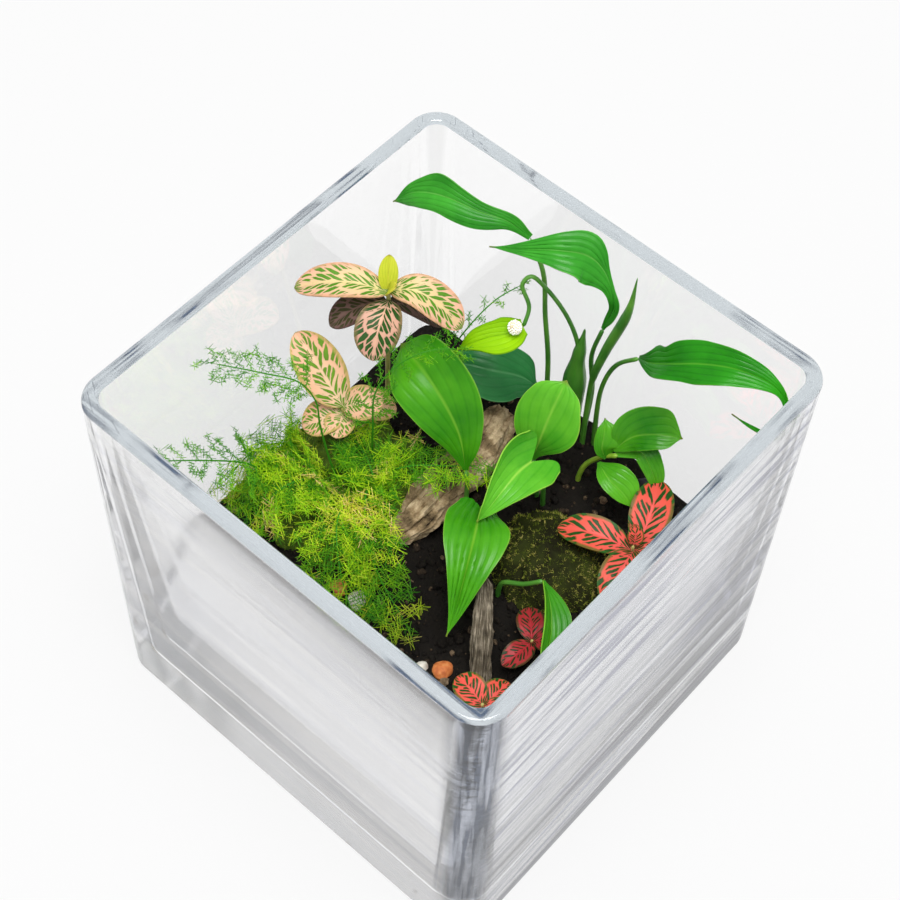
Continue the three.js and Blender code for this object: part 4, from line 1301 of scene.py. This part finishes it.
lily_leaf(
    "lily_leaf_low", (29, -1), [(31, -1, 90), (40, 1, 97)], lily_fresh,
    rib=[(47, 4, 104), (54, -1, 104), (62, -9, 102), (67, -17, 97), (71, -25, 90)],
    facing=(0.3, -0.1, 0.95),
    left=(0.6, 3, 6, 7.9, 7.9, 6.7, 5, 3, 0),
    right=(0.6, 2.2, 3.6, 4.8, 5.6, 5.6, 4.5, 3, 0),
    fold=(0.15, 0.6), curl=(0.0, 0.5),
)

# %% The rolled new leaf
SPEAR_POINTS = [*rooted((9, 77)), (9, 77, 125), (10, 76.5, 135), (14, 76, 156), (22, 75, 190),
                (24, 74, 213)]
SPEAR_RADIUS, SPEAR_SWELL = 1.2, 0.75
BLADE_FROM, BLADE_SPAN = 0.42, 0.62
ROLL_FROM, ROLL_STEP = 0.45, 0.22
SPEAR_TIP, TIP_SLOPE = 0.12, 4.5


def spear_radius(share, angle):
    """A stalk that swells to a rolled blade, with the roll's free edge as a low step."""
    swell = max(0.0, math.sin(math.pi * (share - BLADE_FROM) / BLADE_SPAN))
    taper = min(1.0, (1 - share) * TIP_SLOPE + SPEAR_TIP)
    roll = ROLL_STEP * angle / (2 * math.pi) if share > ROLL_FROM else 0
    return (SPEAR_RADIUS + SPEAR_SWELL * swell + roll) * taper


spear = tube("lily_spear", Line(SPEAR_POINTS), spear_radius, rows=90, sides=20)
seat(dress(spear, stalk_green), "lily_green", "lily_spear_leaf")

# %% [markdown]
# ## The bloom
#
# The bloom hangs from a stalk that comes out of a pointed sheath and hooks over. The spathe is
# a lime-green hood, and in its mouth sits the spadix, a white club of crowded florets.

# %% Spathe, stalk and sheath
SPATHE_BASE = (-15, 59, 162)
lime = glossy_leaf(
    "lime_spathe", (0.22, 0.50, 0.001), (0.38, 0.70, 0.002), (0.12, 0.30, 0.004), 0.5)
spathe = blade(
    "lily_spathe",
    rib=[SPATHE_BASE, (-18, 53, 161), (-23, 48, 159), (-28, 43, 155), (-33, 40, 149)],
    facing=(0.2, -0.3, 0.9),
    half=by_hand(
        (4.5, 7.9, 10, 10.1, 8.2, 5.2, 3, 1.4, 0),
        (3.5, 6, 7.2, 6.4, 5.8, 5.2, 3.5, 1.3, 0),
    ),
    fold=(0.25, 0.35), curl=(0.5, 0.5), quilt=0.15,
)
dress(spathe, lime)
bloom_line = [(1, 78, 120), (0, 78, 142), (-5, 75, 161), (-13, 69, 179), (-18, 65, 186),
              (-20, 62.5, 182), (-16, 63, 170), SPATHE_BASE]
bloom_stalk = stalk("bloom_stalk", bloom_line, 1.0, 0.85, rows=80, sides=10)
SHEATH_RADII = (2, 2.6, 4, 5, 2.8, 0.4)
SHEATH_FOLDS, FOLD_DEPTH = 7, 0.1


def sheath_radius(share, angle):
    """The given radii, joined smoothly, and folds that run along the sheath."""
    index, w = step_of(SHEATH_RADII, share)
    w = w * w * (3 - 2 * w)
    plain = SHEATH_RADII[index] * (1 - w) + SHEATH_RADII[index + 1] * w
    return plain + FOLD_DEPTH * math.cos(SHEATH_FOLDS * angle)


sheath = tube(
    "bloom_sheath",
    Line([(1, 78, SOIL_LEVEL - ROOT_DEPTH), (1, 78, 100), (0, 78, 125), (1, 79, 156)]),
    sheath_radius, rows=60, sides=28,
)
for green in (bloom_stalk, sheath):
    dress(green, stalk_green)
seat(join("lily_bloom_hood", [spathe, bloom_stalk, sheath]), "lime_spathe", "lily_bloom")

# %% Spadix
SPADIX_AT = Vector((-15.5, 54, 166.2))
SPADIX_RADIUS = 2.5
SPADIX_STRETCH = Vector((1, 1, 1.1))
FLORETS = 90
FLORET_RADIUS = 0.55
GOLDEN_ANGLE = math.pi * (3 - math.sqrt(5))


def spadix_head():
    rng = random.Random(8)
    core = made(
        bpy.ops.mesh.primitive_uv_sphere_add, "spadix_core", segments=24, ring_count=16, radius=1,
    )
    for vert in core.data.vertices:
        vert.co = (SPADIX_AT + vert.co * SPADIX_STRETCH * SPADIX_RADIUS) * MM
    foot = Vector(SPATHE_BASE).lerp(SPADIX_AT, 0.21)
    stipe = stalk("stipe", [foot, foot.lerp(SPADIX_AT, 0.5), SPADIX_AT], 0.8, 0.8, rows=8)
    copies = []
    for floret in range(FLORETS):
        z = 1 - 2 * (floret + 0.5) / FLORETS
        level = math.sqrt(1 - z * z)
        turn = GOLDEN_ANGLE * floret
        out = Vector((level * math.cos(turn), level * math.sin(turn), z))
        centre = (SPADIX_AT + out * SPADIX_STRETCH * SPADIX_RADIUS) * MM
        place = stone_place(rng, centre, FLORET_RADIUS * rng.uniform(0.8, 1.25) * MM)
        copies.append((place, rng.random()))
    return join("spadix_head", [core, stipe, scatter("florets", pebble_shape, copies)])


spadix = spadix_head()
take(spadix)
bpy.ops.object.shade_smooth()
cream = Recipe("spadix_cream", Roughness=0.55)
cream.set(Base_Color=cream.ramp(
    cream.shade(),
    (0.0, (0.62, 0.50, 0.30)), (0.25, (0.88, 0.85, 0.72)), (1.0, (0.95, 0.94, 0.86)),
))
seat(dress(spadix, cream), "white_spadix", "lily_spadix")

# %% [markdown]
# ## Whorls: creeper and nerve plants
#
# These plants carry several leaves on one stem. The same blade makes each leaf, and the leaves
# and the stem are joined into one piece for each plant.

# %% Creeper
def whorl(name, node, slot, root, stem, radius, leaves, finish, stem_finish, exit_height=None):
    """A stem with leaves. A leaf is its midrib, half widths and facing, and may have a finish."""
    points = [*rooted(root, exit_height), *stem]
    parts = [dress(stalk(name + "_stem", points, radius, radius * 0.8, rows=30), stem_finish)]
    for rib, half, facing, *own in leaves:
        leaf = blade(name + "_leaf", rib, facing, half, quilt=0.2, rows=40, strips=22)
        parts.append(dress(leaf, own[0] if own else finish))
    seat(join(name, parts), slot, node)


creeper_green = glossy_leaf(
    "creeper_green", (0.025, 0.24, 0.006), (0.13, 0.50, 0.02), (0.24, 0.56, 0.05), 0.16)
creeper_stem = stem_recipe("creeper_stem", 80, (0.16, 0.34, 0.02), (0.40, 0.55, 0.05), 0.45)
whorl(
    "creeper", "creeper_round_leaves", "round_leaf_green", (18, 64),
    [(20, 65, 92), (27, 66, 104), (34, 66, 112)], 1.3,
    [
        ([(31, 67, 112), (36, 72, 121), (43, 75.5, 126), (50, 80, 126.5), (53, 82, 126)],
         by_hand((1, 6.5, 10, 11.6, 11.6, 9.6, 0), (1, 4, 5.8, 6.4, 6.2, 5, 0)), (0.3, -0.5, 0.8)),
        ([(29, 65, 106), (27, 64, 112), (25, 67, 118), (22, 71, 122)],
         by_hand((0.8, 2.6, 3.6, 3, 0), (0.8, 8.6, 12, 8.4, 0)), (0.5, -0.5, 0.7)),
        ([(28, 62, 105), (36, 58, 106), (44, 58, 103), (50, 58, 98)],
         by_hand((0.8, 7, 9, 7.4, 0), (0.8, 3.6, 4.6, 3.6, 0)), (0.2, -0.4, 0.9)),
        ([(32, 66, 110), (40, 73, 113), (46, 72, 110), (51, 71, 103), (53, 70, 98)],
         by_hand((0.8, 3.4, 6, 5.6, 4, 0), (0.8, 2.6, 4, 3.6, 2.6, 0)), (0.3, -0.3, 0.9)),
    ],
    creeper_green, creeper_stem,
)

# %% Nerve plants
MOSS_EXIT = 104


def nerve(width):
    """The half width of a nerve plant's leaf, round at both ends."""
    return by_form(width, 0.65, 0.6)


pink_nerve = nerve_leaf(
    "pink_nerve", (0.13, 0.36, 0.02), (0.74, 0.70, 0.28), (0.80, 0.46, 0.33), (0.72, 0.40, 0.24),
    (13, 2.0), 0.62)
rose_nerve = nerve_leaf(
    "rose_nerve", (0.20, 0.44, 0.03), (0.92, 0.72, 0.46), (0.90, 0.48, 0.30), (0.60, 0.46, 0.14),
    (12, 1.9), 0.62)
dusky_nerve = nerve_leaf(
    "dusky_nerve", (0.03, 0.12, 0.012), (0.80, 0.52, 0.34), (0.62, 0.32, 0.24),
    (0.16, 0.14, 0.04), (11, 1.8), 0.5)
purple_nerve = nerve_leaf(
    "purple_nerve", (0.07, 0.07, 0.02), (0.26, 0.16, 0.12), (0.18, 0.10, 0.09),
    (0.12, 0.06, 0.05), (11, 1.7), 0.5)
young_nerve = glossy_leaf(
    "young_nerve", (0.45, 0.55, 0.02), (0.80, 0.78, 0.07), (0.72, 0.58, 0.10), 0.4)
red_nerve = nerve_leaf(
    "red_nerve", (0.02, 0.11, 0.012), (0.92, 0.14, 0.12), (0.86, 0.11, 0.06), (0.03, 0.14, 0.015),
    (10, 1.3), 0.66)
deep_nerve = nerve_leaf(
    "deep_nerve", (0.012, 0.05, 0.01), (0.52, 0.035, 0.045), (0.40, 0.03, 0.03),
    (0.03, 0.05, 0.01), (10, 1.3), 0.8)
nerve_stem = Recipe("nerve_stem", Base_Color=(0.42, 0.40, 0.12), Roughness=0.6)
whorl(
    "nerve_pink_tall", "nerve_plant_pink_tall", "pink_nerve_leaf", (-63, 32),
    [(-62, 31, 120), (-60, 29, 160), (-59.5, 28.5, 176)], 1.1,
    [
        ([(-59, 28, 175), (-70, 20, 179), (-80, 12, 178), (-88, 5, 174)],
         nerve(16), (0.1, -0.1, 1)),
        ([(-60, 29, 175), (-50, 34, 178), (-40, 38, 173), (-31, 40, 165)],
         nerve(16), (0.1, -0.2, 1)),
        ([(-59, 28, 170), (-56, 22, 170), (-53, 15, 166), (-49, 8, 159)], nerve(19),
         (0.2, -0.5, 0.8), dusky_nerve),
        ([(-60, 28, 169), (-65, 22, 168), (-70, 15, 164), (-73, 9, 159)], nerve(14), (0, -0.3, 1),
         purple_nerve),
        ([(-60, 30, 168), (-53, 35, 167), (-47, 40, 162), (-42, 44, 155)], nerve(14), (0, -0.2, 1),
         purple_nerve),
        ([(-59.5, 28, 174), (-62, 31, 181), (-65, 35, 187)],
         nerve(8), (0.5, -0.5, 0.6), young_nerve),
        ([(-59.5, 28, 174), (-57, 27, 180), (-54, 27, 184)],
         nerve(6), (-0.4, -0.4, 0.7), young_nerve),
    ],
    pink_nerve, nerve_stem, MOSS_EXIT,
)
whorl(
    "nerve_pink_low", "nerve_plant_pink_low", "pink_nerve_leaf", (-61, 4),
    [(-60, 2, 113), (-59, 1, 126)], 1.1,
    [
        ([(-59, 1, 125), (-67, 1, 134), (-77, 2, 143), (-87, 3, 148)],
         nerve(20), (0.6, -0.4, 0.7)),
        ([(-59, 1, 125), (-53, 4, 130), (-46, 11, 131)], nerve(15), (0.2, -0.4, 0.9)),
        ([(-59, 1, 121), (-62, -6, 122), (-68, -14, 118)], nerve(16), (0.1, -0.2, 1)),
        ([(-59, 2, 120), (-56, -4, 122), (-53, -10, 120)], nerve(13), (0.1, -0.2, 1)),
        ([(-59, 2, 118), (-54, 11, 120), (-47, 20, 115)], nerve(15), (0.1, -0.2, 1)),
    ],
    rose_nerve, nerve_stem, MOSS_EXIT,
)
whorl(
    "nerve_red_right", "nerve_plant_red_right", "red_nerve_leaf", (62, 46),
    [(61, 45, 94), (61, 45, 97)], 1.0,
    [
        ([(61, 44, 94), (51, 40, 97), (41, 36, 97), (32, 32, 94)], nerve(16), (0.1, -0.1, 1)),
        ([(61, 46, 94), (60, 54, 99), (56, 64, 103), (51, 73, 103)], nerve(18), (0.1, -0.3, 1)),
        ([(62, 44, 94), (64, 36, 97), (66, 27, 96), (67, 19, 92)], nerve(16), (0, 0.1, 1)),
        ([(62, 45, 94), (69, 47, 97), (76, 50, 96), (83, 52, 92)], nerve(14), (0, 0, 1)),
        ([(61, 45, 96), (60, 47, 101), (57, 49, 104)], nerve(7), (0.3, -0.4, 0.8)),
    ],
    red_nerve, nerve_stem,
)
whorl(
    "nerve_red_middle", "nerve_plant_red_middle", "red_nerve_leaf", (56, -12),
    [(56, -12, 84), (56, -12, 88)], 0.9,
    [
        ([(56, -12, 86), (51, -7, 88), (45, -1, 86)], nerve(12), (0.1, -0.2, 1)),
        ([(56, -12, 86), (56, -20, 88), (54, -28, 86)], nerve(11), (0, -0.1, 1)),
        ([(56, -12, 87), (62, -8, 89), (69, -3, 87)], nerve(12), (0, -0.1, 1)),
    ],
    deep_nerve, nerve_stem,
)
whorl(
    "nerve_red_front", "nerve_plant_red_front", "red_nerve_leaf", (60, -47),
    [(60, -47, 84), (60, -47, 89)], 0.9,
    [
        ([(60, -47, 87), (53, -46, 90), (45, -45, 89)], nerve(13), (0.1, -0.1, 1)),
        ([(60, -47, 86), (61, -40, 88), (61, -32, 86)], nerve(12), (0, -0.1, 1)),
        ([(60, -47, 87), (66, -46, 89), (74, -48, 87)], nerve(12), (0, 0, 1)),
        ([(60, -47, 86), (60, -53, 88), (58, -60, 86)], nerve(12), (0, 0, 1)),
    ],
    red_nerve, nerve_stem,
)

# %% [markdown]
# ## Feathery fern
#
# The asparagus fern's frond is a wiry stem with side twigs in one flat plane, twigs on those,
# and a tuft of thread-like needles every millimetre or two. The rule below grows it: each twig
# sets smaller twigs left and right in turn, and each tuft spreads its needles forward. A seed
# for each frond makes it grow the same way every time.

# %% Fern
TUFT_PITCH = 1.9
TWIG_PITCH = 5.5
TWIG_RADIUS = 0.12
SHORTEST_TWIG = 3.0
NEEDLES_IN_TUFT = 4
NEEDLE_LENGTH = 10.5
NEEDLE_RADIUS = 0.15
NEEDLE_SCATTER = 0.9
NEEDLE_LEAN = (0.5, 1.3)
BRANCH_SHARE = 0.42
BARE_TIP = 0.12
WANDER = 0.10
DROOP = 0.02
TIP_NEEDLES = 0.62
STEM_FOOT, STEM_TIP = 0.62, 0.24
AIRY_BRIGHTEST, AIRY_SIZE = 0.25, 0.5
DENSE_BRIGHTEST, DENSE_SIZE = 0.68, 1.0
# Twigs near this spot are made pale yellow: a painted pool of light.
SUNNY_SPOT = Vector((-30, -26, 114)) * MM
SUNNY_REACH = 9 * MM
# Needles low in the fern are painted a deeper green: painted shade under the upper needles.
SHADED_UNDER_LAYER = (84 * MM, 112 * MM)
UNDER_SHADE_SHARE, UNDER_SHADE_GREEN = 0.6, (0.02, 0.10, 0.005)
needle_shape = spike(3, 0.6)
twig_shape = spike(4, 0.6)


def inside_vase(point, spare=1.2):
    """True for a point in metres that is clear of the glass and the soil."""
    room = cavity_half(point.z) - spare * MM
    above = point.z / MM > ground(point.x / MM, point.y / MM) + 1
    return above and max(abs(point.x), abs(point.y)) < room


class Frond:
    """Collects the twigs and needles of one frond while it grows."""

    def __init__(self, seed, dry, airy):
        self.rng = random.Random(seed)
        self.dry = dry
        self.brightest = AIRY_BRIGHTEST if airy else DENSE_BRIGHTEST
        self.size = AIRY_SIZE if airy else DENSE_SIZE
        self.twigs, self.needles = [], []

    def tuft(self, point, along, side, size, shade):
        """Needles left and right in turn, most of them in the plane of the twig."""
        rng = self.rng
        for index in range(NEEDLES_IN_TUFT):
            hand = 1 if index % 2 else -1
            out = square_to(along, side * hand + on_sphere(rng) * NEEDLE_SCATTER)
            direction = (out + along * rng.uniform(*NEEDLE_LEAN)).normalized()
            length = NEEDLE_LENGTH * size * self.size * rng.uniform(0.6, 1.1) * MM
            if inside_vase(point + direction * length, 0.6):
                place = stretched(point, direction, length, NEEDLE_RADIUS * MM)
                self.needles.append((place, min(1.0, max(0.0, shade + rng.uniform(-0.2, 0.2)))))

    def twig(self, start, direction, length, order, plane):
        """Grows one twig, length in millimetres, bending away from the plane's normal."""
        rng = self.rng
        steps = max(2, round(length / TUFT_PITCH))
        pitch = length / steps
        heading = direction.copy()
        point = start.copy()
        is_dry = rng.random() < self.dry
        shade = rng.uniform(0.8, 1.0) if is_dry else rng.uniform(0.0, self.brightest)
        # Painted light: twigs near the sunny spot are made paler.
        if (start - SUNNY_SPOT).length < SUNNY_REACH:
            shade = max(shade, rng.uniform(0.6, 0.85))
        side = heading.cross(plane).normalized()
        since, hand = 0.0, rng.choice((-1, 1))
        for step in range(steps):
            left = 1 - step / steps
            here = point + heading * (pitch * MM)
            if not inside_vase(here):
                return
            twig = stretched(point, heading, (here - point).length, TWIG_RADIUS * MM)
            self.twigs.append((twig, shade))
            self.tuft(here, heading, side, TIP_NEEDLES + (1 - TIP_NEEDLES) * left, shade)
            since += pitch
            if order and since > TWIG_PITCH and left > BARE_TIP:
                since = 0.0
                hand = -hand
                lift = plane * rng.uniform(-0.25, 0.3)
                branch = (heading * 0.8 + side * hand + lift).normalized()
                reach = max(SHORTEST_TWIG, length * BRANCH_SHARE * left)
                self.twig(here, branch, reach, order - 1, plane)
            heading = (heading + on_sphere(rng) * WANDER - plane * DROOP).normalized()
            point = here


def grow(frond, route, reach, twigs, start):
    """Twigs left and right in turn, all along a stem, and one at its tip."""
    rng = frond.rng
    for index in range(twigs):
        share = start + (1 - start) * (index + 0.5) / twigs
        along = route.along(share)
        side = Vector((along.y, -along.x, 0)).normalized() * (1 if index % 2 else -1)
        plane = along.cross(side).normalized()
        if plane.z < 0:
            plane = -plane
        direction = (along * 0.6 + side + plane * rng.uniform(-0.15, 0.35)).normalized()
        length = reach * (1.12 - 0.75 * share) * rng.uniform(0.75, 1.2)
        frond.twig(route.at(share), direction, length, 1, plane)
    frond.twig(route.at(0.999), route.along(0.999), reach * 0.3, 1, Vector((0, 0, 1)))


def fern(name, root, lines, reach, twigs, seed, start, dry):
    """One frond or spray: its stems, the twigs on them and the needles on those."""
    frond = Frond(seed, dry, airy="frond" in name)
    stems = []
    for line in lines:
        points = [*rooted(root, MOSS_EXIT), *line]
        stems.append(stalk(name + "_stem", points, STEM_FOOT, STEM_TIP, 60, 6))
        grow(frond, Line(points), reach, twigs, start)
    green = scatter(name + "_needles", needle_shape, frond.needles)
    wood = scatter(name + "_twigs", twig_shape, frond.twigs)
    return join(name, [green, wood, *stems])


fern_green = Recipe("fern_green", Roughness=0.5, Specular_IOR_Level=0.3)
fern_tint = fern_green.ramp(
    fern_green.shade(),
    (0.0, (0.045, 0.28, 0.008)), (0.3, (0.21, 0.58, 0.012)), (0.65, (0.66, 0.90, 0.02)),
    (0.85, (0.88, 0.80, 0.12)), (1.0, (0.94, 0.74, 0.32)),
)
# Painted shade: needles below this band darken towards a deep green.
under = fern_green.below(fern_green.axes()[2], *SHADED_UNDER_LAYER) * UNDER_SHADE_SHARE
fern_tint = fern_green.mix(under, fern_tint, UNDER_SHADE_GREEN)
fern_green.set(Base_Color=fern_tint)
fern_green.let_through(fern_tint, 0.35)
FRONDS = (
    ("frond_arch", "fern_frond_arch", (-46, -17), 19, 18, 21, 0.70, 0.0,
     [(-49, -18, 118), (-52.5, -19, 140), (-54.5, -19, 155), (-60, -22, 165), (-71, -31, 170),
      (-85, -42, 174)]),
    ("frond_left", "fern_frond_left", (-62, -28), 22, 20, 22, 0.34, 0.0,
     [(-66, -34, 106), (-71, -43, 120), (-78, -60, 134), (-84, -73, 142)]),
    ("frond_top", "fern_frond_top", (-44, 2), 14, 16, 23, 0.55, 0.0,
     [(-38, -4, 135), (-40, 0, 155), (-36, 8, 168), (-29, 18, 174), (-22, 28, 172)]),
    ("frond_back", "fern_frond_back", (-44, 32), 11, 12, 24, 0.5, 0.0,
     [(-42, 35, 120), (-36, 47, 150), (-30, 60, 166), (-25, 69, 171)]),
    ("spray_left", "fern_spray_left", (-70, -18), 27, 25, 25, 0.35, 0.02,
     [(-74, -20, 106), (-80, -30, 106), (-83, -46, 97)]),
    ("spray_crest", "fern_spray_crest", (-50, -22), 30, 26, 26, 0.35, 0.05,
     [(-51, -26, 111), (-55, -38, 114), (-60, -52, 102)]),
    ("spray_near", "fern_spray_near", (-36, -20), 28, 22, 27, 0.35, 0.03,
     [(-34, -24, 110), (-28, -36, 113), (-16, -47, 104), (0, -56, 92)]),
    ("spray_middle", "fern_spray_middle", (-30, -10), 22, 22, 28, 0.35, 0.03,
     [(-30, -16, 112), (-22, -26, 112), (-6, -37, 104), (14, -42, 92)],
     [(-33, -9, 110), (-41, -5, 114), (-51, -2, 113)]),
    ("spray_right", "fern_spray_right", (-34, -2), 19, 20, 29, 0.35, 0.02,
     [(-31, 0, 108), (-24, 6, 112), (-15, 14, 112), (-6, 25, 109)]),
)
for name, node, root, reach, twigs, seed, start, dry, *lines in FRONDS:
    piece = fern(name, root, lines, reach, twigs, seed, start, dry)
    seat(dress(piece, fern_green), "fern_green", node)
